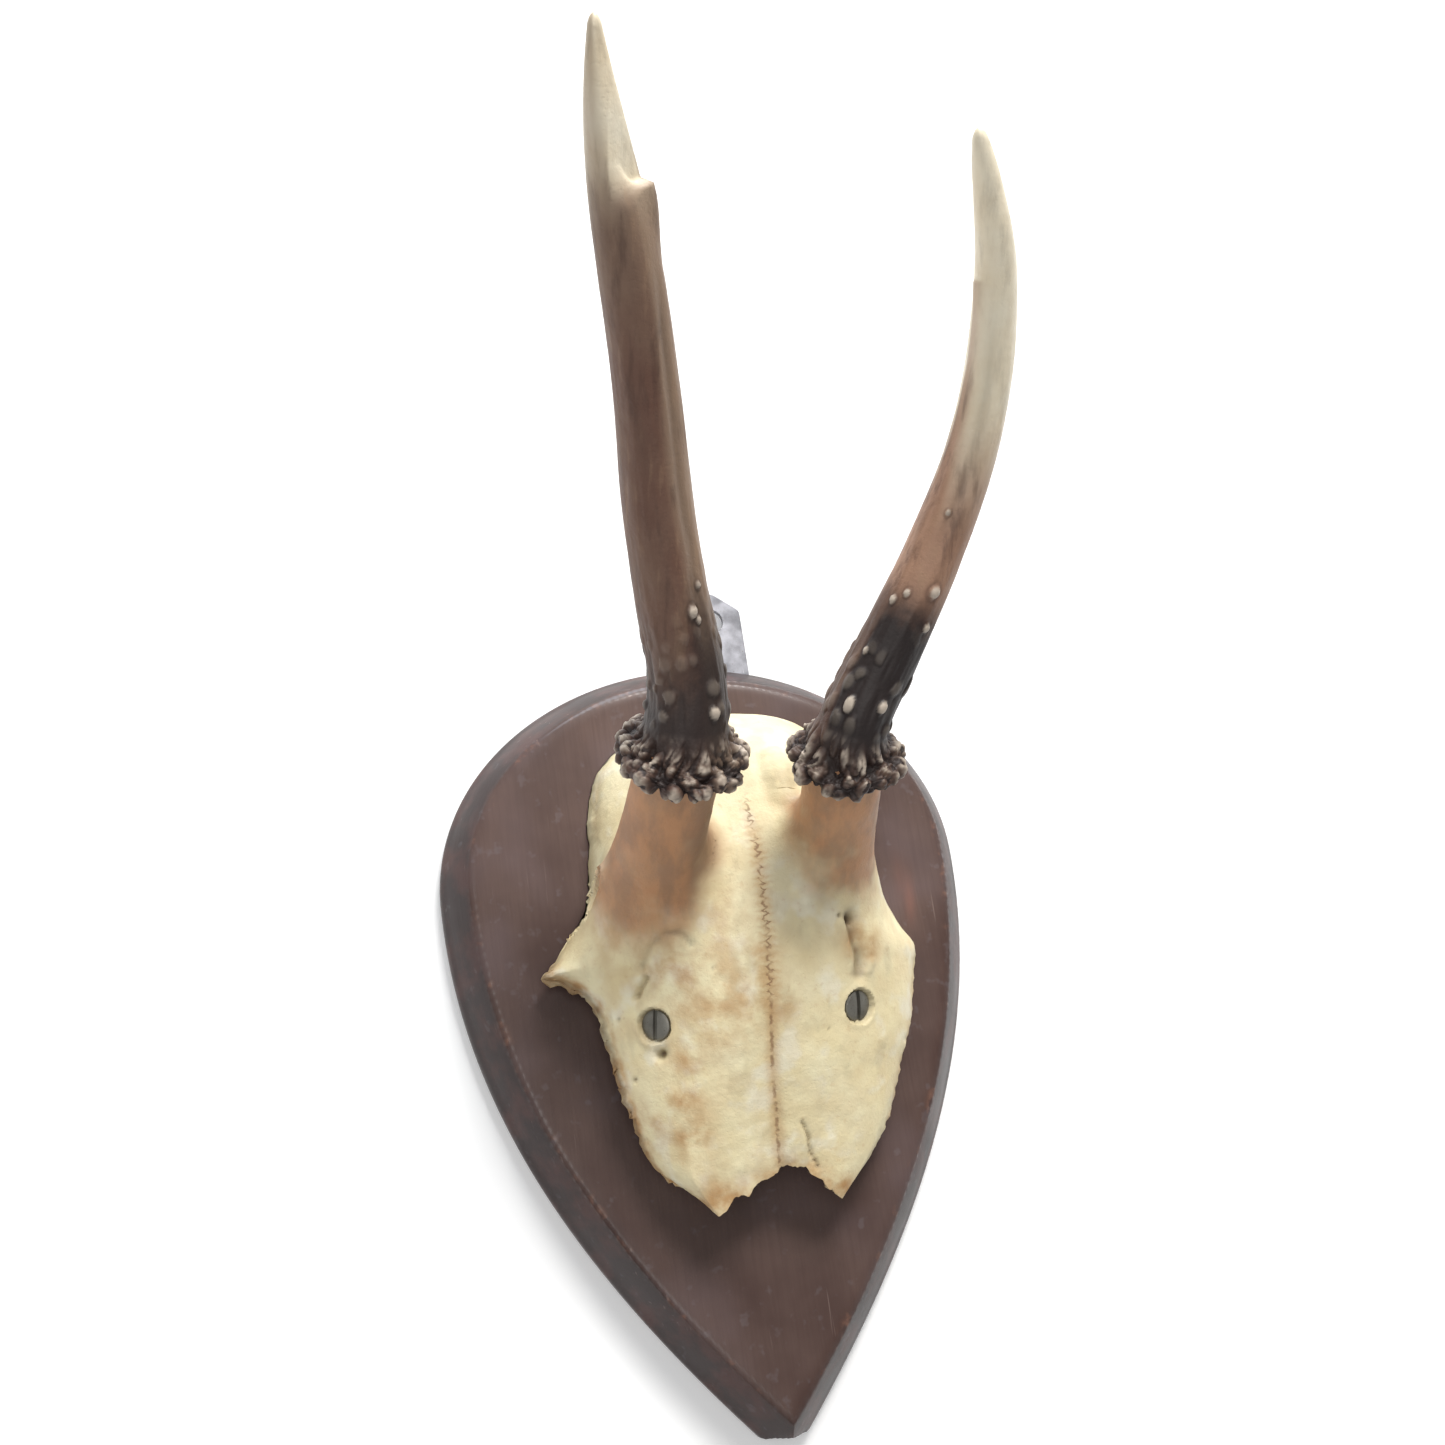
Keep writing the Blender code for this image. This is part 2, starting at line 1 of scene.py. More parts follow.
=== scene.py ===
"""Finished surfaces of an antler mounting plaque: stained shield, bleached skull cap, antlers, screws and strip.

Shapes are worked out in millimetres in the part's own frame and become metres when a mesh is made: +Z is up, the
shield's face looks towards -Y and its flat back lies in the plane Y = 0. Places on the skull are in the skull's
own frame: across, out from the shield's face, and along the seam towards the crown.
"""

from math import cos, pi, radians, sin

import bmesh
import bpy
import numpy as np
from bpy.props import FloatProperty, FloatVectorProperty, IntProperty, PointerProperty
from mathutils import Matrix, Vector


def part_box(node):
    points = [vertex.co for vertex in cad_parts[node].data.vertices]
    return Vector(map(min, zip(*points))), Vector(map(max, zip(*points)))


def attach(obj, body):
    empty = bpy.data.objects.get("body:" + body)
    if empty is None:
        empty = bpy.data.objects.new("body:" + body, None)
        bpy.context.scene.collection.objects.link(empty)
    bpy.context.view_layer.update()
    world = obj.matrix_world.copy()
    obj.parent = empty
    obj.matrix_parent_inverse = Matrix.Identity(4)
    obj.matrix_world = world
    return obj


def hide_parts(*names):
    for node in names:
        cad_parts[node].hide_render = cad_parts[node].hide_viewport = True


bl_info = {
    "name": "Antler mounting plaque",
    "version": (1, 0, 0),
    "blender": (4, 5, 0),
    "location": "3D View > Sidebar > Plaque",
    "description": "Builds the finished surfaces of a wall-hung antler plaque",
    "category": "Object",
}

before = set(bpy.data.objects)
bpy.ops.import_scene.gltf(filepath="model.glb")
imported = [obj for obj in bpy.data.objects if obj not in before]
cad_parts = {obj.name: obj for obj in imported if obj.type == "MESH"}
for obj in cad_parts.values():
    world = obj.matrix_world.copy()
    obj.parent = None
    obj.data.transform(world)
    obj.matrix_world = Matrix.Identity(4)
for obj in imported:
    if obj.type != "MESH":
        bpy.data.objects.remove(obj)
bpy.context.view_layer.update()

MM = 0.001
SIDES = ("left", "right")

# The shield, from the frame where it can be
SHIELD_LOW, SHIELD_HIGH = (np.array(corner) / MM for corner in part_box("shield"))
FACE_Y = float(SHIELD_LOW[1])
HALF_WIDTH = float(SHIELD_HIGH[0])
TOP_Z = float(SHIELD_HIGH[2])
BLUNT_Z = float(SHIELD_LOW[2])
WIDEST_Z = 22.0
TIP_Z = -109.5
SIDE_REACH = 49.0
TIP_REACH = 56.0
TIP_HALF_ANGLE = radians(42.0)
STRAIGHT_EDGE = 3.5
BACK_ROUNDING = 0.5
BEVEL_WIDTH = 6.5
BEVEL_BELLY = 0.35
FACE_UNEVENNESS = 0.10
RECESS_GAP = 0.3
STREAK_X = 45.5
STREAK_Z = 11.0

# The skull cap
SKULL_X = 3.3
SKULL_LEAN = radians(3.5)
DOME_POWER = 2.3
DOME_FALL = 0.62
WALL = 3.2
CAP_ROWS = 216
CAP_HALF_COLUMNS = 92
RIM_POINTS = 3
RIM_CLEARANCE = 0.3
CAP_STATIONS = (
    # along the seam, half width left and right, height of the seam, height of the left and right rims
    (-50.0, 18.0, 18.0, 14.0, 7.0, 6.0),
    (-45.0, 24.3, 23.5, 16.0, 7.0, 6.0),
    (-38.0, 27.6, 28.5, 18.5, 8.0, 7.0),
    (-30.0, 30.3, 31.5, 21.5, 9.0, 8.0),
    (-20.0, 32.7, 35.0, 25.0, 9.0, 9.0),
    (-11.0, 34.8, 37.5, 27.5, 8.0, 8.0),
    (-6.0, 37.0, 39.0, 28.5, 6.5, 6.0),
    (-1.0, 38.5, 40.3, 29.2, 4.6, 4.0),
    (4.0, 38.6, 38.0, 29.8, 2.0, 2.0),
    (10.0, 35.2, 34.8, 30.4, -1.5, -1.5),
    (25.0, 33.6, 34.0, 30.0, -1.5, -1.5),
    (36.0, 32.8, 33.0, 27.0, -1.5, -1.5),
    (45.0, 30.0, 29.5, 22.5, -1.5, -1.5),
    (51.0, 24.0, 24.0, 17.0, -1.5, -1.5),
    (55.5, 16.0, 16.5, 10.5, -1.5, -1.5),
    (58.0, 6.0, 6.0, 1.5, -1.5, -1.5),
)
NOSE_SHARES = (-1.0, -0.86, -0.68, -0.5, -0.3, 0.0, 0.18, 0.42, 0.7, 0.88, 1.0)
NOSE_REACH = (0.5, 3.0, 6.4, 3.0, 1.8, -0.5, -2.0, -2.5, 3.0, 5.0, 2.0)
NOSE_CUT_REACH = 22.5
PEDICLE_FOOT = {"left": (-24.3, 9.0, 6.0), "right": (18.2, 9.0, 8.6)}
CORONET_PLACE = {"left": (-19.3, 56.0, 35.9), "right": (14.8, 56.0, 34.1)}
PEDICLE_RADIUS = {"left": 9.0, "right": 8.4}
# share of the pedicle's length, share of its radius
PEDICLE_SWELL = ((0.0, 1.22), (0.2, 1.2), (0.36, 1.12), (0.52, 1.05), (0.68, 1.0), (0.85, 0.98), (1.0, 1.0))
SPIKE_REACH = 8.6
SPIKE_ALONG = -2.6
SPIKE_FALL = (4.6, 2.3)
# share of the way, across, out, along, radius
KNOB = ((0.0, 7.0, 23.5, 40.5, 2.6), (0.5, 7.0, 26.2, 36.0, 3.5), (1.0, 6.8, 27.6, 31.4, 2.6))
PEDICLE_FILLET = 9.0
KNOB_FILLET = 3.0
JOIN_MARGIN = 1.5
FAR_FROM_SEAM = 20.0

# The seam and the marks in the bone, as (across, along)
SEAM_ALONG = (-50.0, -44.0, -31.7, -25.0, -9.9, 1.8, 9.7, 17.9, 27.2, 40.0, 60.0)
SEAM_ACROSS = (1.9, 1.5, 0.6, 0.3, 0.3, 0.2, -0.1, -0.4, -1.6, -2.0, -2.0)
LEFT_CREASE = ((-26.2, -4.0), (-24.5, -0.2), (-21.7, 2.0), (-18.2, 2.0), (-16.0, -0.8))
CRESCENT = ((-25.6, -6.6), (-26.6, -8.4), (-27.4, -10.0))
RIGHT_GROOVE = ((19.4, 3.4), (20.4, -1.0), (21.4, -5.0), (21.0, -8.4))
RIGHT_RIDGE = ((17.4, 1.8), (18.0, -1.2), (18.9, -3.8), (19.2, -7.2), (20.6, -8.6), (23.4, -8.0), (24.4, -6.2))
NOSE_CRACK = ((6.6, -38.6), (8.0, -42.0), (8.4, -45.0), (10.2, -48.0))
PITS = (
    # across, along, radius, depth
    (-23.1, -22.4, 1.15, 2.4),
    (-28.4, -27.0, 0.5, 0.6),
    (19.6, 2.5, 0.8, 2.2),
    (16.7, 3.6, 0.55, 0.8),
    (-31.0, -14.0, 0.4, 0.4),
    (13.0, -20.0, 0.35, 0.3),
    (-12.0, -6.0, 0.35, 0.3),
)
DULL_SPOTS = (
    # across, along, reach, strength
    (12.0, 6.0, 12.0, 0.3),
    (7.2, 35.0, 4.5, 0.7),
    (3.0, 16.0, 8.0, 0.35),
    (-6.0, 46.0, 12.0, 0.25),
    (24.0, -8.0, 5.0, 0.3),
)
STAINS = (
    # across, along, reach, strength
    (-17.5, -24.0, 4.0, 0.55),
    (-18.5, -32.0, 4.0, 0.8),
    (-17.0, -40.0, 4.2, 0.9),
    (21.5, -3.5, 3.0, 0.8),
    (-1.0, -4.0, 3.5, 0.5),
    (3.0, -14.0, 4.0, 0.35),
    (-17.0, -7.0, 12.0, 0.4),
    (-8.0, 6.0, 6.0, 0.3),
    (-1.0, -12.0, 5.0, 0.55),
    (-10.0, -16.0, 9.0, 0.42),
    (-26.0, -38.0, 5.0, 0.75),
    (-12.0, -52.0, 4.5, 0.8),
    (15.5, -51.0, 3.5, 0.7),
    (22.0, -2.0, 4.5, 0.85),
    (-31.0, 4.0, 7.0, 0.35),
    (-20.0, -4.0, 5.0, 0.3),
    (2.0, -48.0, 6.0, 0.3),
)

# The screws, as (across, along) of their heads; the bone is dished round each, and the heads lean with it
SCREW_SEATS = {"left": (-24.1, -16.4), "right": (20.7, -15.4)}
SEAT_DIP = 1.0
SEAT_DIP_REACH = 8.0
SEAT_LEAN = 1.25
SEAT_DEPTH = 0.9
SEAT_LIP = 0.25
HEAD_RADIUS = 3.3
HEAD_DOME = 0.5
HEAD_SUNK = 0.7
HEAD_CONE = 1.6
SHANK_RADIUS = 1.9
SCREW_POINT = 3.0
SLOT_DEPTH = 0.55
SLOT_TURN = {"left": radians(12.0), "right": radians(-2.0)}

# The strip and its screws
NAIL_HOLE_RADIUS = 3.4
NAIL_HOLE_BELOW_TOP = 7.5
STRIP_SCREW_HOLE_RADIUS = 1.6
STRIP_CLIP = 5.0
STRIP_CLIP_SLOPE = 1.3
STRIP_CORNER_ROUNDING = 1.1
STRIP_SOFT_EDGE = 0.18
STRIP_SCREWS = ("hanger_screw_upper", "hanger_screw_lower")

# The antlers
FORWARD_LEAN = radians(42.7)
ANTLER_BOW = 0.035
FOOT_BEND = 16.0
ANTLER_COLUMNS = 216
ANTLER_SEED = {"left": 100, "right": 200}
ANTLER_LENGTH = {"left": 136.0, "right": 120.5}
CORONET_RADIUS = {"left": 13.5, "right": 12.0}
BEAMS = {
    # share of the length, share of it to the side, radius
    "left": (
        (0.0, 0.0, 8.6),
        (0.10, 0.004, 7.9),
        (0.22, -0.014, 7.3),
        (0.35, -0.032, 6.9),
        (0.53, -0.049, 6.3),
        (0.70, -0.073, 5.8),
        (0.80, -0.092, 4.8),
        (0.87, -0.104, 3.7),
        (0.94, -0.113, 2.3),
        (1.0, -0.118, 0.95),
    ),
    "right": (
        (0.0, 0.0, 7.6),
        (0.08, 0.028, 7.1),
        (0.20, 0.084, 6.5),
        (0.32, 0.137, 6.0),
        (0.52, 0.199, 5.1),
        (0.70, 0.211, 4.4),
        (0.81, 0.201, 3.8),
        (0.90, 0.179, 2.9),
        (0.96, 0.161, 2.05),
        (1.0, 0.149, 1.05),
    ),
}
CORONET_PROFILE = (
    # order, distance up the antler in millimetres, share of the coronet's radius
    (0.0, -3.4, 0.58),
    (1.0, -4.6, 0.74),
    (2.0, -4.8, 0.86),
    (3.0, -4.2, 0.94),
    (4.0, -3.0, 0.96),
    (5.0, -1.9, 0.92),
    (6.0, -1.0, 0.84),
    (7.0, -0.1, 0.76),
    (8.0, 1.3, 0.69),
)
CORONET_TOP = 4.5
LONE_PEARLS = {
    # share of the length, degrees round the beam, radius, height
    "left": (
        (0.213, -70.0, 1.3, 1.0),
        (0.197, -62.0, 0.9, 0.7),
        (0.06, -62.0, 1.2, 0.9),
        (0.245, -48.0, 0.8, 0.6),
    ),
    "right": (
        (0.072, -129.0, 1.35, 1.1),
        (0.086, -78.0, 1.2, 1.0),
        (0.278, -83.0, 1.3, 1.0),
        (0.243, -147.0, 0.9, 0.7),
        (0.223, -66.0, 1.0, 0.7),
        (0.262, -128.0, 0.8, 0.5),
        (0.40, -118.0, 0.7, 0.45),
        (0.155, -150.0, 0.8, 0.5),
    ),
}
# share of the length, share of the ridges' height
RIDGE_FADE = ((0.0, 1.5), (0.12, 1.3), (0.3, 0.75), (0.6, 0.4), (0.8, 0.14), (1.0, 0.0))
PEARL_ROW = 4.6
LUMP_ROW = 2.1
GRIT_ROW = 1.15
SMALL_PEARL_ROW = 2.9
SMALL_PEARLS_ROUND = 19
TIP_ROUNDING = 2.0
SNAG_SHARE = 0.79
SNAG_DEGREES = -8.0
SNAG_HEIGHT = 1.9
FACET_DEGREES = -56.0
FACET_ROUND_OFF = 0.9

# The camera and the lights
CAMERA_AZIMUTH = radians(-12.9)
CAMERA_ELEVATION = radians(-15.6)
CAMERA_ROLL = radians(-8.7)
CAMERA_TARGET = (7.5, FACE_Y, 56.4)
LIGHT_TARGET = (0.0, -0.03, 0.0)
LIGHTS = (
    # name, place in metres, width, height, watts, colour
    ("Key", (0.26, -0.80, 0.78), 0.40, 0.40, 14.5, (1.0, 0.985, 0.96)),
    ("Overhead", (0.12, -0.10, 0.98), 1.3, 0.34, 7.0, (0.80, 0.90, 1.0)),
    ("Front", (-0.40, -1.25, -0.20), 1.1, 1.1, 6.5, (1.0, 0.99, 0.97)),
)
WALL_HALF_SIZE = 2000.0
WALL_GLOW = 0.12
SKY_STRENGTH = 0.25

X_AXIS = np.array([1.0, 0.0, 0.0])


def srgb(red, green, blue):
    """A colour of 0 to 255 as three linear values."""
    share = np.array([red, green, blue]) / 255.0
    linear = np.where(share <= 0.04045, share / 12.92, ((share + 0.055) / 1.055) ** 2.4)
    return tuple(float(value) for value in linear)


def opaque(colour):
    return (*colour, 1.0)


# Sizes and colours that can be changed in the sidebar


def length_property(name, description, default):
    return FloatProperty(name=name, description=description, default=default, min=0.0, unit="LENGTH")


def colour_property(name, description, default):
    limits = {"min": 0.0, "max": 1.0, "subtype": "COLOR"}
    return FloatVectorProperty(name=name, description=description, default=default, **limits)


class BoardSettings(bpy.types.PropertyGroup):
    """The wooden shield"""

    arris: length_property("Arris", "Rounding where the bevel meets the face", 2.8 * MM)
    wobble: length_property("Wobble", "How far hand work leaves the bevel from true", 0.22 * MM)
    face: colour_property("Face", "Stain on the face", srgb(98, 78, 71))
    deep: colour_property("Deep stain", "Where the stain lies thick", srgb(66, 47, 42))
    worn: colour_property("Worn", "Rubbed spots and edges", srgb(140, 98, 78))


class BoneSettings(bpy.types.PropertyGroup):
    """The skull cap"""

    relief: length_property("Relief", "Height of the unevenness in the bone", 0.26 * MM)
    cream: colour_property("Cream", "Bleached bone", srgb(229, 213, 168))
    pale: colour_property("Pale", "Lightest bone", srgb(238, 228, 190))
    stain: colour_property("Stain", "Old stains", srgb(184, 142, 92))
    tan: colour_property("Pedicle", "Orange brown of the pedicles", srgb(190, 136, 95))
    # Also the colour of the painted shade on the pedicles' inner sides.
    dun: colour_property("Pedicle shade", "Grey brown of the pedicles", srgb(140, 106, 82))
    # Also the colour of the painted shade in pits, cracks and creases.
    grime_and_shade_colour: colour_property("Grime", "What lies in pits and cracks", srgb(72, 50, 36))


class AntlerSettings(bpy.types.PropertyGroup):
    """The antlers"""

    petals: IntProperty(name="Pearls", description="Pearls round each coronet", default=25, min=8)
    pearl_height: length_property("Pearl height", "How far the coronet's pearls stand out", 2.1 * MM)
    ridge_height: length_property("Ridges", "Height of the ridges at the beam's base", 0.45 * MM)
    brown: colour_property("Brown", "Red brown of the beams", srgb(92, 60, 48))
    # Also a painted grey sheen down one side of the left beam.
    dun: colour_property("Dun", "Grey brown of the beams", srgb(140, 118, 98))
    dark: colour_property("Dark", "Near black of the bases", srgb(36, 26, 24))
    pale: colour_property("Tip", "Polished tips", srgb(242, 232, 208))
    pearl: colour_property("Pearl", "Tops of the pearls", srgb(188, 174, 158))


class MetalSettings(bpy.types.PropertyGroup):
    """The screws and the strip"""

    slot: length_property("Slot", "Width of the screw slots", 1.0 * MM)
    steel: colour_property("Steel", "Dull steel", srgb(142, 139, 130))
    zinc: colour_property("Zinc", "Zinc plate", srgb(150, 150, 156))


class StageSettings(bpy.types.PropertyGroup):
    """The wall, the lights and the camera"""

    wall: colour_property("Wall", "Pale wall", (0.93, 0.93, 0.93))
    wall_gap: length_property("Gap", "Between the shield's back and the wall", 0.6 * MM)
    distance: length_property("Distance", "From the camera to what it looks at", 0.400)
    lens: FloatProperty(name="Lens", description="Focal length in millimetres", default=1670.0 / 1445.0 * 36.0)


# Curves and noise as whole arrays


def unit(vectors):
    return vectors / np.linalg.norm(vectors, axis=-1, keepdims=True)


def ease(value, low, high):
    """0 up to low, 1 from high on, and 3t^2 - 2t^3 between them."""
    t = np.clip((value - low) / (high - low), 0.0, 1.0)
    return t * t * (3.0 - 2.0 * t)


def bell(value, reach):
    """1 in the middle and falling off as exp(-(value / reach)^2)."""
    return np.exp(-((value / reach) ** 2))


def lattice_noise(points, size, seed):
    """A hashed number at each corner of a cubic lattice of that size, eased between the corners; -1 to 1."""
    scaled = points / size
    cell = np.floor(scaled).astype(np.int64)
    t = scaled - cell
    t = t * t * (3.0 - 2.0 * t)
    total = np.zeros(points.shape[:-1])
    for corner in np.ndindex(2, 2, 2):
        c = cell + np.array(corner)
        key = (c[..., 0] * 73856093) ^ (c[..., 1] * 19349663) ^ (c[..., 2] * 83492791) ^ (seed * 2654435)
        key = (key * 1103515245 + 12345) & 0x7FFFFFFF
        key = ((key >> 9) ^ key) * 2246822519 & 0xFFFFFFFF
        value = ((key >> 8) & 0xFFFF) / 32767.5 - 1.0
        weight = np.prod(np.where(np.array(corner) == 1, t, 1.0 - t), axis=-1)
        total += weight * value
    return total


def layered_noise(points, size, seed, layers=3):
    """Lattice noise at a size and at each half of it, each layer half as strong as the one before."""
    total, weight, full = 0.0, 1.0, 0.0
    for layer in range(layers):
        total = total + weight * lattice_noise(points, size / 2**layer, seed + layer)
        full += weight
        weight *= 0.5
    return total / full


def through(stations, at):
    """A curve through rows of (place, values): cubic Hermite with central slopes, read at the given places."""
    table = np.asarray(stations, float)
    places, values = table[:, 0], table[:, 1:]
    slopes = np.gradient(values, places, axis=0)
    at = np.asarray(at, float)
    i = np.clip(np.searchsorted(places, at, side="right") - 1, 0, len(places) - 2)
    span = (places[i + 1] - places[i])[:, None]
    t = np.clip((at - places[i])[:, None] / span, 0.0, 1.0)
    start = (2 * t**3 - 3 * t**2 + 1) * values[i] + (t**3 - 2 * t**2 + t) * span * slopes[i]
    end = (3 * t**2 - 2 * t**3) * values[i + 1] + (t**3 - t**2) * span * slopes[i + 1]
    return start + end


def frames_along(path):
    """At each point of a path: along it, the direction nearest +X that is square to that, and the third."""
    along = unit(np.gradient(path, axis=0))
    across = unit(X_AXIS - (along @ X_AXIS)[:, None] * along)
    return along, across, np.cross(along, across)


def grid_normals(grid, outward):
    """Normals of a grid of points from the cross product of its row and column steps; outward is a direction that
    says which side is out."""
    normals = unit(np.cross(np.gradient(grid, axis=0), np.gradient(grid, axis=1)) + 1e-12)
    return normals if np.mean((normals * outward).sum(-1)) > 0 else -normals


def cell_bumps(u, v, around, seed):
    """Domes about jittered points, one in each unit cell, the u axis closing after the given count: at each place
    the height sqrt(1 - d^2) of the nearest dome, with valleys of 0 between them, and that dome's own 0 to 1."""
    u, v = np.broadcast_arrays(u, v)
    best = np.full(u.shape, 9.0)
    rank = np.zeros(u.shape)
    for du in (-1, 0, 1):
        for dv in (-1, 0, 1):
            cell_u, cell_v = np.floor(u) + du, np.floor(v) + dv
            key = np.stack([np.mod(cell_u, around), cell_v, np.zeros_like(cell_u)], -1) + 0.5
            shift_u = 0.5 + 0.34 * np.sin(97.0 * lattice_noise(key, 1.0, seed))
            shift_v = 0.5 + 0.42 * np.sin(89.0 * lattice_noise(key, 1.0, seed + 1))
            swell = 1.0 + 0.22 * np.sin(61.0 * lattice_noise(key, 1.0, seed + 2))
            distance = np.hypot(u - cell_u - shift_u, v - cell_v - shift_v) / (0.62 * swell)
            nearer = distance < best
            best = np.where(nearer, distance, best)
            rank = np.where(nearer, 0.5 + 0.5 * np.sin(43.0 * lattice_noise(key, 1.0, seed + 3)), rank)
    return np.sqrt(np.clip(1.0 - best**2, 0.0, 1.0)), rank


def distance_to_line(across, along, chain):
    """Shortest distance in the (across, along) plane to a chain of straight segments."""
    nearest = np.full(across.shape, 1e6)
    place = np.stack([across, along], -1)
    for start, end in zip(np.array(chain[:-1]), np.array(chain[1:])):
        step = end - start
        share = np.clip(((place - start) @ step) / (step @ step), 0.0, 1.0)
        nearest = np.minimum(nearest, np.linalg.norm(place - start - share[..., None] * step, axis=-1))
    return nearest


# Meshes


def tube_faces(rows, columns):
    """Quads between neighbouring rings of a tube whose columns close on themselves."""
    ring = np.arange(rows - 1)[:, None] * columns
    column = np.arange(columns)[None, :]
    after = (column + 1) % columns
    corners = [ring + column, ring + after, ring + columns + after, ring + columns + column]
    return np.stack(corners, -1).reshape(-1, 4)


def closed_tube(rings, masks):
    """A tube through rings of points with each end fanned to its middle, and its masks carried to those points."""
    rows, columns = rings.shape[:2]
    vertices = np.vstack([rings.reshape(-1, 3), rings[0].mean(0), rings[-1].mean(0)])
    column = np.arange(columns)
    after = (column + 1) % columns
    start, end = np.full(columns, rows * columns), np.full(columns, rows * columns + 1)
    last = (rows - 1) * columns
    faces = tube_faces(rows, columns).tolist()
    faces += np.stack([start, after, column], -1).tolist()
    faces += np.stack([end, last + column, last + after], -1).tolist()
    carried = {name: np.concatenate([m.ravel(), [m[0].mean(), m[-1].mean()]]) for name, m in masks.items()}
    return vertices, faces, carried


def build_piece(name, parts, material, sharp_degrees=None):
    """One smooth object at the origin from parts of (vertices in mm, faces, masks), with faces turned outwards."""
    vertices, faces, masks, count = [], [], {}, 0
    for part_vertices, part_faces, part_masks in parts:
        vertices.append(part_vertices)
        faces += [[index + count for index in face] for face in part_faces]
        for key, values in part_masks.items():
            masks.setdefault(key, []).append(values)
        count += len(part_vertices)
    mesh = bpy.data.meshes.new(name)
    mesh.from_pydata((np.vstack(vertices) * MM).tolist(), [], faces)
    bm = bmesh.new()
    bm.from_mesh(mesh)
    bmesh.ops.recalc_face_normals(bm, faces=bm.faces)
    bm.to_mesh(mesh)
    bm.free()
    for key, values in masks.items():
        layer = mesh.attributes.new(key, "FLOAT", "POINT")
        layer.data.foreach_set("value", np.concatenate(values).astype(np.float32))
    mesh.materials.append(material)
    mesh.shade_smooth()
    if sharp_degrees:
        mesh.set_sharp_from_angle(angle=radians(sharp_degrees))
    obj = bpy.data.objects.new(name, mesh)
    bpy.context.scene.collection.objects.link(obj)
    return obj


def carve(obj, cutters, sharp_degrees=30.0):
    """Takes the cutters out of an object for good, and removes them."""
    group = bpy.data.collections.new(f"{obj.name} cutters")
    bpy.context.scene.collection.children.link(group)
    for cutter in cutters:
        bpy.context.scene.collection.objects.unlink(cutter)
        group.objects.link(cutter)
    modifier = obj.modifiers.new("Carve", "BOOLEAN")
    modifier.operand_type = "COLLECTION"
    modifier.collection = group
    modifier.solver = "EXACT"
    cut = bpy.data.meshes.new_from_object(obj.evaluated_get(bpy.context.evaluated_depsgraph_get()))
    if len(cut.polygons) < 10:
        raise RuntimeError(f"{obj.name}: the cut left nothing")
    obj.modifiers.clear()
    obj.data = cut
    cut.shade_smooth()
    cut.set_sharp_from_angle(angle=radians(sharp_degrees))
    for cutter in cutters:
        bpy.data.objects.remove(cutter, do_unlink=True)
    bpy.data.collections.remove(group)
    return obj


def add_mask(obj, name, values):
    layer = obj.data.attributes.new(name, "FLOAT", "POINT")
    layer.data.foreach_set("value", values.astype(np.float32))


def place_of(obj):
    """An object's vertices in millimetres."""
    flat = np.empty(len(obj.data.vertices) * 3, np.float32)
    obj.data.vertices.foreach_get("co", flat)
    return flat.reshape(-1, 3).astype(float) / MM


def box_cutter(name, low, high, turn=0.0):
    """A box between two corners in millimetres, turned about Y through its middle."""
    middle, size = (np.array(low) + high) / 2, np.array(high) - low
    corners = np.array([[x, y, z] for x in (-0.5, 0.5) for y in (-0.5, 0.5) for z in (-0.5, 0.5)]) * size
    c, s = cos(turn), sin(turn)
    turned = corners @ np.array([[c, 0, -s], [0, 1, 0], [s, 0, c]]) + middle
    faces = [[0, 1, 3, 2], [4, 6, 7, 5], [0, 4, 5, 1], [2, 3, 7, 6], [0, 2, 6, 4], [1, 5, 7, 3]]
    return build_piece(name, [(turned, faces, {})], None)


def turned_piece(name, profile, centre, material, sides=72):
    """A solid turned about a line along Y: profile rows are (distance along Y, radius)."""
    profile = np.asarray(profile, float)
    angle = np.linspace(0.0, 2 * pi, sides, endpoint=False)
    x = centre[0] + profile[:, 1:2] * np.cos(angle)
    z = centre[2] + profile[:, 1:2] * np.sin(angle)
    y = centre[1] + np.repeat(profile[:, :1], sides, axis=1)
    return build_piece(name, [closed_tube(np.stack([x, y, z], -1), {})], material, 30.0)


def cad_box(node):
    """A solid's low and high corners in millimetres."""
    return (np.array(corner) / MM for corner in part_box(node))


def settle_in(obj, body, slot, *nodes):
    """Puts a finished piece on its body in place of the named nodes."""
    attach(obj, body)
    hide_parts(*nodes)
    return obj


# Shader building


def add_node(tree, kind, inputs=None, **settings):
    """A node with its settings, and its inputs given as values or as sockets to link."""
    made = tree.nodes.new(kind)
    for key, value in settings.items():
        setattr(made, key, value)
    for key, value in (inputs or {}).items():
        if isinstance(value, bpy.types.NodeSocket):
            tree.links.new(value, made.inputs[key])
        else:
            made.inputs[key].default_value = value
    return made


def calculate(tree, operation, first, second=0.0, third=0.0, clamp=False):
    sockets = {0: first, 1: second, 2: third}
    return add_node(tree, "ShaderNodeMath", sockets, operation=operation, use_clamp=clamp).outputs[0]


def times(tree, first, second):
    return calculate(tree, "MULTIPLY", first, second)


def ramp(tree, value, low, high, start=0.0, end=1.0):
    """Eases from start to end while the value goes from low to high."""
    sockets = {"Value": value, "From Min": low, "From Max": high, "To Min": start, "To Max": end}
    return add_node(tree, "ShaderNodeMapRange", sockets, interpolation_type="SMOOTHSTEP").outputs["Result"]


def blend(tree, factor, first, second):
    return add_node(tree, "ShaderNodeMix", {0: factor, 6: first, 7: second}, data_type="RGBA").outputs[2]


def paint(tree, colour, factor, over):
    """The colour so far with another laid over it where the factor says."""
    return blend(tree, factor, colour, opaque(over))


def stretch(tree, vector, scale, turn=(0.0, 0.0, 0.0)):
    """Coordinates scaled and turned, so that a pattern in them is drawn out along one direction."""
    sockets = {"Vector": vector, "Rotation": turn, "Scale": scale}
    return add_node(tree, "ShaderNodeMapping", sockets).outputs["Vector"]


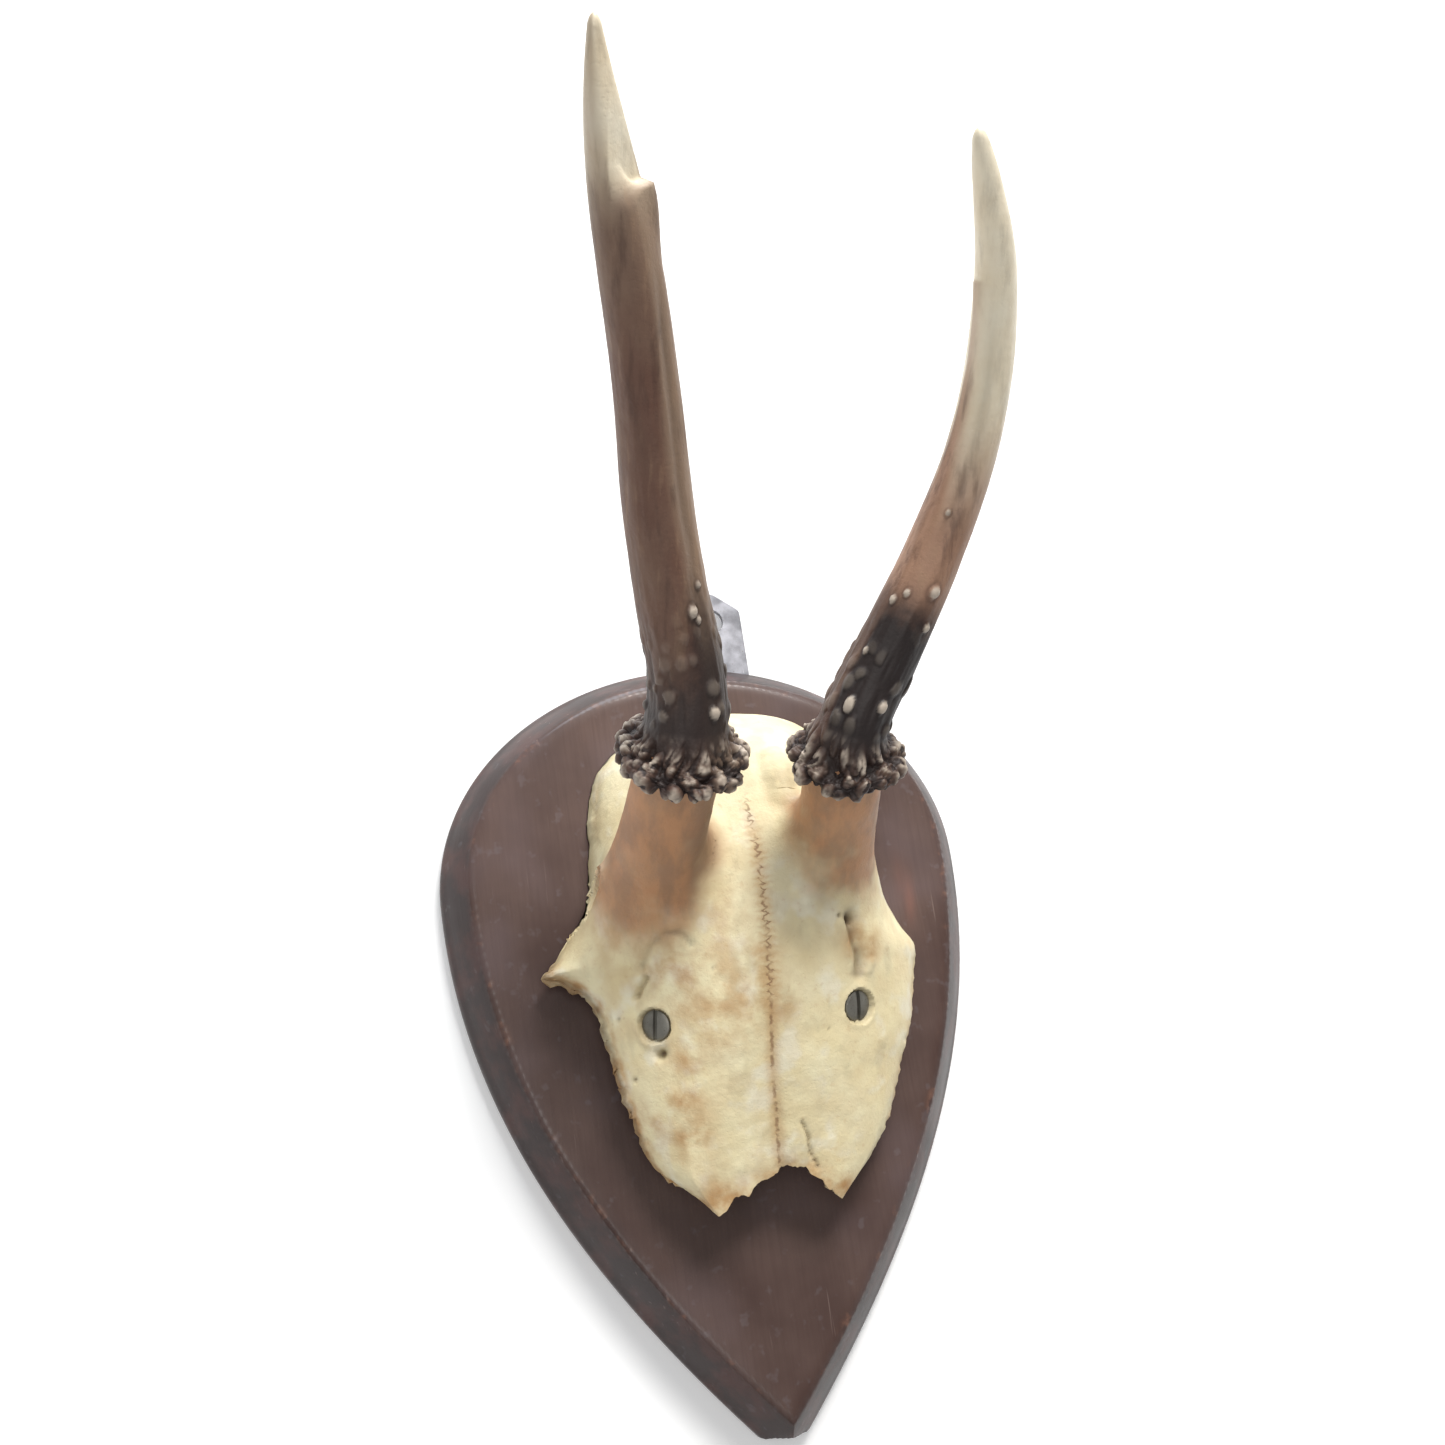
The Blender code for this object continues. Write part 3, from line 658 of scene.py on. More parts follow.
def noise(tree, vector, size, detail=3.0, roughness=0.5, distortion=0.0):
    """Noise whose lumps are about the given size in millimetres."""
    sockets = {
        "Vector": vector,
        "Scale": 1.0 / (size * MM),
        "Detail": detail,
        "Roughness": roughness,
        "Distortion": distortion,
    }
    return add_node(tree, "ShaderNodeTexNoise", sockets).outputs["Fac"]


def attribute(tree, name):
    return add_node(tree, "ShaderNodeAttribute", attribute_name=name).outputs["Fac"]


def new_group(name, inputs, outputs):
    """A node group with its sockets: inputs are (name, socket type, default), outputs (name, socket type)."""
    group = bpy.data.node_groups.new(name, "ShaderNodeTree")
    for label, kind, default in inputs:
        socket = group.interface.new_socket(label, in_out="INPUT", socket_type=kind)
        if default is not None:
            socket.default_value = default
    for label, kind in outputs:
        group.interface.new_socket(label, in_out="OUTPUT", socket_type=kind)
    return group, group.nodes.new("NodeGroupInput"), group.nodes.new("NodeGroupOutput")


def mottle_group():
    """Cloudy variation of two sizes, used by the wood, the bone and the antlers."""
    inputs = (
        ("Vector", "NodeSocketVector", None),
        ("Scale", "NodeSocketFloat", 80.0),
        ("Contrast", "NodeSocketFloat", 1.0),
    )
    group, start, end = new_group("Mottle", inputs, (("Clouds", "NodeSocketFloat"), ("Specks", "NodeSocketFloat")))
    vector, scale = start.outputs["Vector"], start.outputs["Scale"]
    wide = add_node(group, "ShaderNodeTexNoise", {"Vector": vector, "Scale": scale, "Detail": 4.0}).outputs["Fac"]
    fine_scale = times(group, scale, 9.0)
    sockets = {"Vector": vector, "Scale": fine_scale, "Detail": 2.0}
    fine = add_node(group, "ShaderNodeTexNoise", sockets).outputs["Fac"]
    centred = times(group, calculate(group, "SUBTRACT", wide, 0.5), start.outputs["Contrast"])
    clouds = calculate(group, "MULTIPLY_ADD", centred, 2.2, 0.5, clamp=True)
    group.links.new(clouds, end.inputs["Clouds"])
    group.links.new(ramp(group, fine, 0.62, 0.74), end.inputs["Specks"])
    return group


def pitting_group():
    """Height of fine pores and dust, used by the bone, the antlers and the metals."""
    inputs = (
        ("Vector", "NodeSocketVector", None),
        ("Scale", "NodeSocketFloat", 1500.0),
        ("Pores", "NodeSocketFloat", 0.5),
    )
    group, start, end = new_group("Pitting", inputs, (("Height", "NodeSocketFloat"),))
    vector, scale = start.outputs["Vector"], start.outputs["Scale"]
    grain = add_node(group, "ShaderNodeTexNoise", {"Vector": vector, "Scale": scale, "Detail": 5.0}).outputs["Fac"]
    cells = add_node(group, "ShaderNodeTexVoronoi", {"Vector": vector, "Scale": scale}).outputs["Distance"]
    pores = times(group, ramp(group, cells, 0.0, 0.35, -1.0, 0.0), start.outputs["Pores"])
    group.links.new(calculate(group, "ADD", grain, pores), end.inputs["Height"])
    return group


def scratch_group():
    """Fine scratches in two directions, used by the wood and the metals."""
    inputs = (
        ("Vector", "NodeSocketVector", None),
        ("Scale", "NodeSocketFloat", 60.0),
        ("Amount", "NodeSocketFloat", 0.5),
    )
    group, start, end = new_group("Scratches", inputs, (("Mask", "NodeSocketFloat"),))
    masks = []
    for turn in (0.5, -0.9):
        turned = stretch(group, start.outputs["Vector"], (1.0, 1.0, 0.045), (0.0, turn, 0.0))
        sockets = {"Vector": turned, "Scale": times(group, start.outputs["Scale"], 14.0)}
        lines = add_node(group, "ShaderNodeTexNoise", sockets).outputs["Fac"]
        masks.append(ramp(group, lines, 0.70, 0.76))
    sockets = {"Vector": start.outputs["Vector"], "Scale": start.outputs["Scale"]}
    patches = add_node(group, "ShaderNodeTexNoise", sockets).outputs["Fac"]
    both = times(group, calculate(group, "MAXIMUM", *masks), ramp(group, patches, 0.45, 0.65))
    group.links.new(times(group, both, start.outputs["Amount"]), end.inputs["Mask"])
    return group


def use_group(tree, name, maker, **inputs):
    """A shared group, made at its first use, with its named inputs given or linked."""
    shared = bpy.data.node_groups.get(name) or maker()
    return add_node(tree, "ShaderNodeGroup", inputs, node_tree=shared)


def start_material(name):
    """A material with its shader node, and the object coordinates that its patterns use."""
    made = bpy.data.materials.new(name)
    made.use_nodes = True
    tree = made.node_tree
    shader = tree.nodes["Principled BSDF"]
    place = tree.nodes.new("ShaderNodeTexCoord").outputs["Object"]
    return made, tree, shader, place


def finish_bump(tree, shader, height, strength, distance):
    sockets = {"Height": height, "Strength": strength, "Distance": distance * MM}
    bump = add_node(tree, "ShaderNodeBump", sockets)
    tree.links.new(bump.outputs["Normal"], shader.inputs["Normal"])


def wood_material(settings):
    """Dark stained board: cloudy stain, faint upright grain, pale specks and scratches, rubbed arrises, patches of
    painted lilac sheen, and a bevel darkened with painted shade.
    """
    made, tree, shader, place = start_material("Stained wood")
    mottle = use_group(tree, "Mottle", mottle_group, Vector=place, Scale=34.0, Contrast=1.1)
    grain = noise(tree, stretch(tree, place, (1.0, 1.0, 0.05)), 0.9, 5.0, 0.6, 0.4)
    scratches = use_group(tree, "Scratches", scratch_group, Vector=place, Scale=55.0, Amount=0.5).outputs["Mask"]
    edge = attribute(tree, "edge")
    colour = blend(tree, mottle.outputs["Clouds"], opaque(settings.deep), opaque(settings.face))
    colour = paint(tree, colour, ramp(tree, grain, 0.35, 0.75, 0.0, 0.28), settings.deep)
    # Lilac patches over the stain: a painted sheen.
    painted_lilac_sheen = ramp(tree, noise(tree, place, 26.0, 2.0), 0.45, 0.75, 0.0, 0.35)
    colour = paint(tree, colour, painted_lilac_sheen, srgb(104, 90, 94))
    rubbed = times(tree, edge, ramp(tree, noise(tree, place, 4.0, 4.0), 0.55, 0.72))
    colour = paint(tree, colour, times(tree, rubbed, 0.8), settings.worn)
    colour = paint(tree, colour, attribute(tree, "streak"), srgb(150, 92, 74))
    # The bevel and sides painted a darker, redder brown in patches: painted shade.
    side = attribute(tree, "side")
    patches = ramp(tree, noise(tree, place, 9.0, 4.0), 0.4, 0.65)
    bevel_painted_shade = blend(tree, patches, opaque(srgb(38, 22, 21)), opaque(srgb(70, 38, 33)))
    colour = blend(tree, times(tree, side, 0.85), colour, bevel_painted_shade)
    pale = times(tree, mottle.outputs["Specks"], 0.10)
    colour = paint(tree, colour, pale, srgb(136, 134, 142))
    colour = paint(tree, colour, times(tree, scratches, 0.5), srgb(150, 130, 122))
    tree.links.new(colour, shader.inputs["Base Color"])
    tree.links.new(ramp(tree, mottle.outputs["Clouds"], 0.0, 1.0, 0.44, 0.62), shader.inputs["Roughness"])
    shader.inputs["Specular IOR Level"].default_value = 0.25
    varnish = calculate(tree, "MULTIPLY_ADD", side, 0.12, 0.08)
    coat = calculate(tree, "MULTIPLY_ADD", ramp(tree, edge, 0.1, 0.7), 0.85, varnish, clamp=True)
    tree.links.new(coat, shader.inputs["Coat Weight"])
    shader.inputs["Coat Roughness"].default_value = 0.19
    height = calculate(tree, "ADD", times(tree, grain, 0.5), noise(tree, place, 7.0, 3.0))
    finish_bump(tree, shader, calculate(tree, "SUBTRACT", height, scratches), 0.25, 0.25)
    return made


def bone_material(settings):
    """Bleached bone: creams, old stains, brown pedicles with painted shade on their inner sides, grime and painted
    shade in every hollow, and a fine zigzag seam.
    """
    made, tree, shader, place = start_material("Bleached bone")
    mottle = use_group(tree, "Mottle", mottle_group, Vector=place, Scale=75.0, Contrast=1.3)
    colour = blend(tree, mottle.outputs["Clouds"], opaque(settings.cream), opaque(settings.pale))
    chalk = ramp(tree, noise(tree, place, 8.0, 3.0), 0.52, 0.68, 0.0, 0.75)
    colour = paint(tree, colour, chalk, srgb(240, 234, 210))
    ashen = ramp(tree, noise(tree, stretch(tree, place, (1.0, 1.0, 0.6)), 6.5, 4.0), 0.54, 0.70, 0.0, 0.5)
    colour = paint(tree, colour, ashen, srgb(200, 188, 152))
    stain = times(tree, attribute(tree, "stain"), ramp(tree, noise(tree, place, 5.0, 4.0), 0.25, 0.7))
    colour = paint(tree, colour, stain, settings.stain)
    # Grey brown patches on the pedicles, and painted shade on their inner sides.
    dun_and_painted_shade = ramp(tree, noise(tree, stretch(tree, place, (1.0, 0.3, 0.42)), 3.6, 4.0, 0.6), 0.36, 0.66)
    dun_and_painted_shade = calculate(tree, "MAXIMUM", times(tree, dun_and_painted_shade, 0.6), attribute(tree, "dun_and_painted_shade"))
    pedicle = blend(tree, dun_and_painted_shade, opaque(settings.tan), opaque(settings.dun))
    colour = blend(tree, attribute(tree, "brown"), colour, pedicle)
    dull = times(tree, attribute(tree, "grey"), ramp(tree, noise(tree, place, 6.0, 4.0), 0.2, 0.6))
    colour = paint(tree, colour, dull, srgb(170, 158, 128))
    run, side = attribute(tree, "seam_run"), attribute(tree, "seam_side")
    upper = ramp(tree, run, -16.0, -11.0)
    wander = times(tree, noise(tree, place, 1.8, 3.0), 3.4)
    zigzag = calculate(tree, "PINGPONG", calculate(tree, "ADD", calculate(tree, "DIVIDE", run, 0.85), wander), 1.0)
    reach = times(tree, ramp(tree, upper, 0.0, 1.0, 0.3, 1.5), noise(tree, place, 2.6, 2.0))
    swing = times(tree, calculate(tree, "SUBTRACT", zigzag, 0.5), times(tree, reach, 1.6))
    away = calculate(tree, "ABSOLUTE", calculate(tree, "SUBTRACT", side, swing))
    line = ramp(tree, away, 0.12, 0.55, 1.0, 0.0)
    line = times(tree, line, ramp(tree, noise(tree, place, 2.2, 2.0), 0.38, 0.60, 0.12, 0.9))
    line = times(tree, line, ramp(tree, run, 27.0, 33.0, 1.0, 0.0))
    halo = times(tree, ramp(tree, away, 0.0, 2.6, 0.5, 0.0), ramp(tree, run, 22.0, 32.0, 1.0, 0.0))
    colour = paint(tree, colour, halo, settings.stain)
    colour = paint(tree, colour, times(tree, line, 0.72), srgb(120, 82, 52))
    # Pits, creases, cracks, low spots and rings round the screws in the grime colour: grime, and painted shade.
    colour = paint(tree, colour, times(tree, attribute(tree, "crevice_grime_and_shade"), 0.92), settings.grime_and_shade_colour)
    specks = times(tree, mottle.outputs["Specks"], 0.18)
    colour = paint(tree, colour, specks, settings.stain)
    tree.links.new(colour, shader.inputs["Base Color"])
    tree.links.new(ramp(tree, mottle.outputs["Clouds"], 0.0, 1.0, 0.48, 0.66), shader.inputs["Roughness"])
    pits = use_group(tree, "Pitting", pitting_group, Vector=place, Scale=1400.0, Pores=0.5).outputs["Height"]
    pits = times(tree, pits, 0.5)
    lumps = times(tree, noise(tree, place, 2.4, 5.0, 0.6), 2.0)
    height = calculate(tree, "ADD", pits, lumps)
    height = calculate(tree, "SUBTRACT", height, times(tree, line, 0.9))
    finish_bump(tree, shader, height, 0.4, 0.3)
    return made


def antler_material(settings):
    """Antler: red brown to dun, near black at the base, cream at the tip, with pale pearls, dark crevices that are
    partly painted shade, and a painted grey sheen down one side of the left beam.
    """
    made, tree, shader, place = start_material("Antler")
    mottle = use_group(tree, "Mottle", mottle_group, Vector=place, Scale=110.0, Contrast=1.2)
    colour = blend(tree, attribute(tree, "dun"), opaque(settings.brown), opaque(settings.dun))
    colour = paint(tree, colour, times(tree, mottle.outputs["Clouds"], 0.3), settings.dun)
    colour = paint(tree, colour, times(tree, attribute(tree, "rosy"), 0.8), srgb(178, 138, 112))
    pale = attribute(tree, "pale")
    tip = blend(tree, mottle.outputs["Clouds"], opaque(settings.pale), opaque(srgb(230, 214, 184)))
    colour = blend(tree, pale, colour, tip)
    upright = stretch(tree, place, (1.0, 1.0, 1.0), (-FORWARD_LEAN, 0.0, 0.0))
    grain = noise(tree, stretch(tree, upright, (1.0, 1.0, 0.2)), 3.4, 6.0, 0.6)
    keep = ramp(tree, pale, 0.0, 1.0, 1.0, 0.35)
    dark_grain = times(tree, ramp(tree, grain, 0.5, 0.70, 0.0, 0.5), keep)
    colour = paint(tree, colour, dark_grain, srgb(66, 42, 33))
    pale_grain = times(tree, ramp(tree, grain, 0.46, 0.32, 0.0, 0.25), keep)
    colour = paint(tree, colour, pale_grain, srgb(170, 138, 108))
    streaks = ramp(tree, attribute(tree, "fibre"), 0.5, 0.85, 0.0, 0.4)
    colour = paint(tree, colour, times(tree, streaks, keep), srgb(84, 60, 48))
    colour = paint(tree, colour, attribute(tree, "dark"), settings.dark)
    colour = paint(tree, colour, attribute(tree, "pearl"), settings.pearl)
    # Crevices in a dark red brown: the horn's own dark, and painted shade.
    crevice = times(tree, attribute(tree, "crevice_grime_and_shade"), 0.95)
    colour = paint(tree, colour, crevice, srgb(40, 27, 24))
    tree.links.new(colour, shader.inputs["Base Color"])
    polish = ramp(tree, pale, 0.0, 1.0, 0.56, 0.36)
    tree.links.new(polish, shader.inputs["Roughness"])
    pits = use_group(tree, "Pitting", pitting_group, Vector=place, Scale=1100.0, Pores=0.4).outputs["Height"]
    height = calculate(tree, "ADD", times(tree, pits, 0.6), noise(tree, place, 1.8, 5.0, 0.6))
    finish_bump(tree, shader, height, 0.45, 0.25)
    return made


def metal_material(name, colour, rough_low, rough_high):
    """Dull plated metal with scratches and stains."""
    made, tree, shader, place = start_material(name)
    mottle = use_group(tree, "Mottle", mottle_group, Vector=place, Scale=260.0, Contrast=1.2)
    scratches = use_group(tree, "Scratches", scratch_group, Vector=place, Scale=300.0, Amount=0.7).outputs["Mask"]
    tarnish = opaque(tuple(0.55 * value for value in colour))
    shown = blend(tree, mottle.outputs["Clouds"], tarnish, opaque(colour))
    shown = paint(tree, shown, times(tree, scratches, 0.6), (0.75, 0.75, 0.75))
    shown = paint(tree, shown, times(tree, mottle.outputs["Specks"], 0.5), srgb(92, 74, 60))
    tree.links.new(shown, shader.inputs["Base Color"])
    rough = ramp(tree, mottle.outputs["Clouds"], 0.0, 1.0, rough_high, rough_low)
    tree.links.new(rough, shader.inputs["Roughness"])
    shader.inputs["Metallic"].default_value = 0.6
    pits = use_group(tree, "Pitting", pitting_group, Vector=place, Scale=3000.0, Pores=0.3).outputs["Height"]
    finish_bump(tree, shader, calculate(tree, "SUBTRACT", pits, scratches), 0.3, 0.1)
    return made


# The shield


def shield_outline(inset):
    """Points of the outline drawn in by an inset: a quarter ellipse, then a Bezier to the point, which is cut off
    level, and the same mirrored. The points come evenly by angle on the ellipse and by parameter on the Bezier."""
    half, rise = HALF_WIDTH - inset, TOP_Z - WIDEST_Z - inset
    turn = np.linspace(0.0, pi / 2, 100)
    top = np.stack([half * np.sin(turn), WIDEST_Z + rise * np.cos(turn)], -1)
    tip = np.array([0.0, TIP_Z + inset / sin(TIP_HALF_ANGLE)])
    shrink = (WIDEST_Z - tip[1]) / (WIDEST_Z - TIP_Z)
    shoulder = np.array([half, WIDEST_Z])
    below = shoulder - np.array([0.0, SIDE_REACH * shrink])
    above = tip + TIP_REACH * shrink * np.array([sin(TIP_HALF_ANGLE), cos(TIP_HALF_ANGLE)])
    t = np.linspace(0.0, 1.0, 120)[1:, None]
    side = (1 - t) ** 3 * shoulder + 3 * (1 - t) ** 2 * t * below + 3 * (1 - t) * t**2 * above + t**3 * tip
    right = np.vstack([top, side])
    right[:, 1] = np.maximum(right[:, 1], BLUNT_Z)
    left = right[-2:0:-1] * [-1.0, 1.0]
    return np.vstack([right, left])


def shield_profile(arris):
    """The edge's section as (y, inset) rows from the back to the face: a small rounding, the straight side, a
    slightly full bevel and an arris of the given radius."""
    r = BACK_ROUNDING
    back = [(-r + r * cos(a), r - r * sin(a)) for a in np.linspace(0.0, pi / 2, 5)]
    straight = [(-r - (STRAIGHT_EDGE - 0.9) * t, 0.0) for t in (0.4, 0.8, 1.0)]
    t = np.linspace(0.03, 0.90, 16)
    bevel_y = -STRAIGHT_EDGE + t * (FACE_Y + STRAIGHT_EDGE)
    bevel_in = t * BEVEL_WIDTH - BEVEL_BELLY * np.sin(pi * t)
    start = np.array([bevel_y[-1], bevel_in[-1]])
    corner = np.array([FACE_Y, BEVEL_WIDTH + 0.1])
    end = np.array([FACE_Y, BEVEL_WIDTH + 1.2 * arris])
    shares = np.linspace(0.0, 1.0, 10)[1:]
    rounded = [tuple((1 - v) ** 2 * start + 2 * (1 - v) * v * corner + v**2 * end) for v in shares]
    return np.array(back + straight + list(zip(bevel_y, bevel_in)) + rounded)


def make_board(settings):
    """Rings of the outline at each step of the edge's section, then rings shrunk to a middle point over the face
    and over the back. The bevel wavers and the face rises and falls a little, by lattice noise."""
    profile = shield_profile(settings.arris / MM)
    rings = []
    for y, inset in profile:
        flat = shield_outline(inset)
        rings.append(np.stack([flat[:, 0], np.full(len(flat), y), flat[:, 1]], -1))
    middle = np.array([0.0, 0.0, -2.0])
    shrinks = np.linspace(1.0, 0.02, 26)[1:, None, None]
    face = rings[-1] * shrinks + (middle + [0, FACE_Y, 0]) * (1 - shrinks)
    face[..., 1] = FACE_Y
    inner = np.linspace(0.02, 1.0, 8)[:-1, None, None]
    back = rings[0] * inner + middle * (1 - inner)
    back[..., 1] = 0.0
    grid = np.concatenate([back, np.array(rings), face])
    wobble = settings.wobble / MM
    raised = ease(-grid[..., 1], STRAIGHT_EDGE, STRAIGHT_EDGE + 3.0)
    radial = unit(np.stack([grid[..., 0], 0 * grid[..., 0], grid[..., 2] - 2.0], -1) + 1e-9)
    on_edge = raised * ease(np.abs(grid[..., 1] - FACE_Y), 0.0, 0.6)
    grid = grid - (on_edge * wobble * (1 + layered_noise(grid, 16.0, 3)))[..., None] * radial
    on_face = ease(-grid[..., 1], -FACE_Y - 1.5, -FACE_Y)
    grid[..., 1] += on_face * FACE_UNEVENNESS * (1 + layered_noise(grid, 22.0, 5, 2))
    board = build_piece("stained_board", [closed_tube(grid, {})], wood_material(settings), 40.0)
    low, high = cad_box("hanger")
    carve(board, [box_cutter("recess", low - RECESS_GAP, (high[0] + RECESS_GAP, 4.0, TOP_Z + 6.0))], 40.0)
    place = place_of(board)
    arris_line = shield_outline(BEVEL_WIDTH)
    steps = place[:, None, [0, 2]] - arris_line[None, ::2]
    from_arris = np.hypot(np.sqrt((steps**2).sum(-1)).min(1), np.abs(place[:, 1] - FACE_Y - 0.4))
    add_mask(board, "edge", bell(from_arris, 1.0))
    # Where the bevel and sides are, which the wood paints darker as painted shade and varnishes a little more.
    add_mask(board, "side", ease(place[:, 1], FACE_Y + 0.6, FACE_Y + 1.6) * ease(-place[:, 1], 0.3, 1.2))
    above = place[:, 2] - STREAK_Z
    streak = bell(place[:, 0] - STREAK_X + 0.06 * above, 1.1) * bell(above, 6.5)
    streak *= ease(-place[:, 1], -FACE_Y - 1.0, -FACE_Y)
    add_mask(board, "streak", 0.35 * streak)
    return settle_in(board, "root", "wood", "shield")


# The skull cap


def skull_to_world(place):
    """From (across, out, along) to the world: a lean about Y and a shift, out of the shield's face."""
    across, out, along = np.moveaxis(np.asarray(place, float), -1, 0)
    c, s = cos(SKULL_LEAN), sin(SKULL_LEAN)
    return np.stack([SKULL_X + across * c + along * s, FACE_Y - out, along * c - across * s], -1)


CAP_FINE = np.linspace(CAP_STATIONS[0][0], CAP_STATIONS[-1][0], 600)
CAP_TABLE = through(CAP_STATIONS, CAP_FINE)


def cap_sizes(along):
    """Half widths left and right, the seam's height and the rims' heights left and right at places along it."""
    return [np.interp(along, CAP_FINE, CAP_TABLE[:, k]) for k in range(5)]


def spike_reach(along):
    """How far the left brow's spike stands out past the rim: a cusp, e^(-d / fall), with its own fall each way."""
    fall = np.where(along > SPIKE_ALONG, SPIKE_FALL[0], SPIKE_FALL[1])
    return SPIKE_REACH * np.exp(-np.abs(along - SPIKE_ALONG) / fall)


def cap_across(share, along):
    """The place across at a share of the half width, with the spike drawing out the last of the left side."""
    left, right, *_ = cap_sizes(along)
    return share * np.where(share < 0, left, right) - spike_reach(along) * ease(-share, 0.80, 1.0)


def cap_share(across, along):
    """The share of the half width at a place across: cap_across turned round by repeated correction."""
    left, right, *_ = cap_sizes(along)
    half = np.where(across < 0, left, right)
    share = np.clip(across / (half + np.where(across < 0, spike_reach(along), 0.0)), -1.0, 1.0)
    for _ in range(14):
        share = np.clip(share + 0.5 * (across - cap_across(share, along)) / half, -1.0, 1.0)
    return share


def cap_height_at(share, across, along):
    """How far the bone stands out: from the rim up to the seam by (1 - s^2.3)^0.62, where s is the share of the
    half width, less a dip along the seam over the nose and forehead and one under each screw."""
    *_, crown, rim_left, rim_right = cap_sizes(along)
    rim = np.where(share < 0, rim_left, rim_right)
    size = np.clip(np.abs(share), 0.0, 0.9998)
    dip = 0.9 * bell(across, 4.5) * ease(-along, 8.0, 26.0)
    dip = dip + 0.5 * bell(across, 7.0) * ease(along, 2.0, 12.0) * ease(-along, -34.0, -22.0)
    for seat_across, seat_along in SCREW_SEATS.values():
        dip = dip + SEAT_DIP * bell(np.hypot(across - seat_across, along - seat_along), SEAT_DIP_REACH)
    return rim + (crown - rim) * (1.0 - size**DOME_POWER) ** DOME_FALL - dip


def cap_height(across, along):
    return cap_height_at(cap_share(across, along), across, along)


def cap_field(place):
    """Signed distance to the cap, nearly: the height above it times the slope's cosine, and its gradient."""
    across, out, along = place.T
    step = 0.15
    height = cap_height(across, along)
    slope_across = (cap_height(across + step, along) - cap_height(across - step, along)) / (2 * step)
    slope_along = (cap_height(across, along + step) - cap_height(across, along - step)) / (2 * step)
    gradient = unit(np.stack([-slope_across, np.ones_like(out), -slope_along], -1))
    return (out - height) * gradient[:, 1], gradient


def stick(stations, count):
    """Balls strung along a path of (place, across, out, along, radius) rows."""
    return through(stations, np.linspace(0.0, 1.0, count))


def stick_field(place, balls):
    """Signed distance to the nearest of the balls, and its gradient."""
    best = np.full(len(place), 1e6)
    gradient = np.zeros_like(place)
    for ball in balls:
        step = place - ball[:3]
        distance = np.linalg.norm(step, axis=1) + 1e-9
        value = distance - ball[3]
        nearer = value < best
        best[nearer] = value[nearer]
        gradient[nearer] = step[nearer] / distance[nearer, None]
    return best, gradient


def pedicle_stations(side):
    foot, top = np.array(PEDICLE_FOOT[side]), np.array(CORONET_PLACE[side])
    rows = []
    for share, swell in PEDICLE_SWELL:
        rows.append((share, *(foot + share * (top - foot)), PEDICLE_RADIUS[side] * swell))
    return rows


def joined_field(place, sticks):
    """The smooth union of the cap and the sticks: at each join the two distances a and b give
    min(a, b) - h(1 - h) r, with h = 1/2 + (b - a) / 2r held to 0 to 1 and r the fillet's reach."""
    value, gradient = cap_field(place)
    for balls, reach in sticks:
        other, other_gradient = stick_field(place, balls)
        share = np.clip(0.5 + 0.5 * (other - value) / reach, 0.0, 1.0)
        value = other * (1 - share) + value * share - reach * share * (1 - share)
        gradient = other_gradient * (1 - share)[:, None] + gradient * share[:, None]
    return value, gradient


def draw_to_join(place, others, sticks, reach):
    """Moves points near a join on to the smooth union by Newton steps; others is their distance to the nearest
    other form, and points deep inside one stay hidden there."""
    near = (others < reach + JOIN_MARGIN) & (others > -reach)
    moved = place[near]
    weight = ease(others[near], -0.5 * reach, -1.0)
    for _ in range(4):
        value, gradient = joined_field(moved, sticks)
        size = np.maximum((gradient**2).sum(-1), 0.25)
        moved = moved - (weight * value / size)[:, None] * gradient
    result = place.copy()
    result[near] = moved
    return result, unit(joined_field(result, sticks)[1])


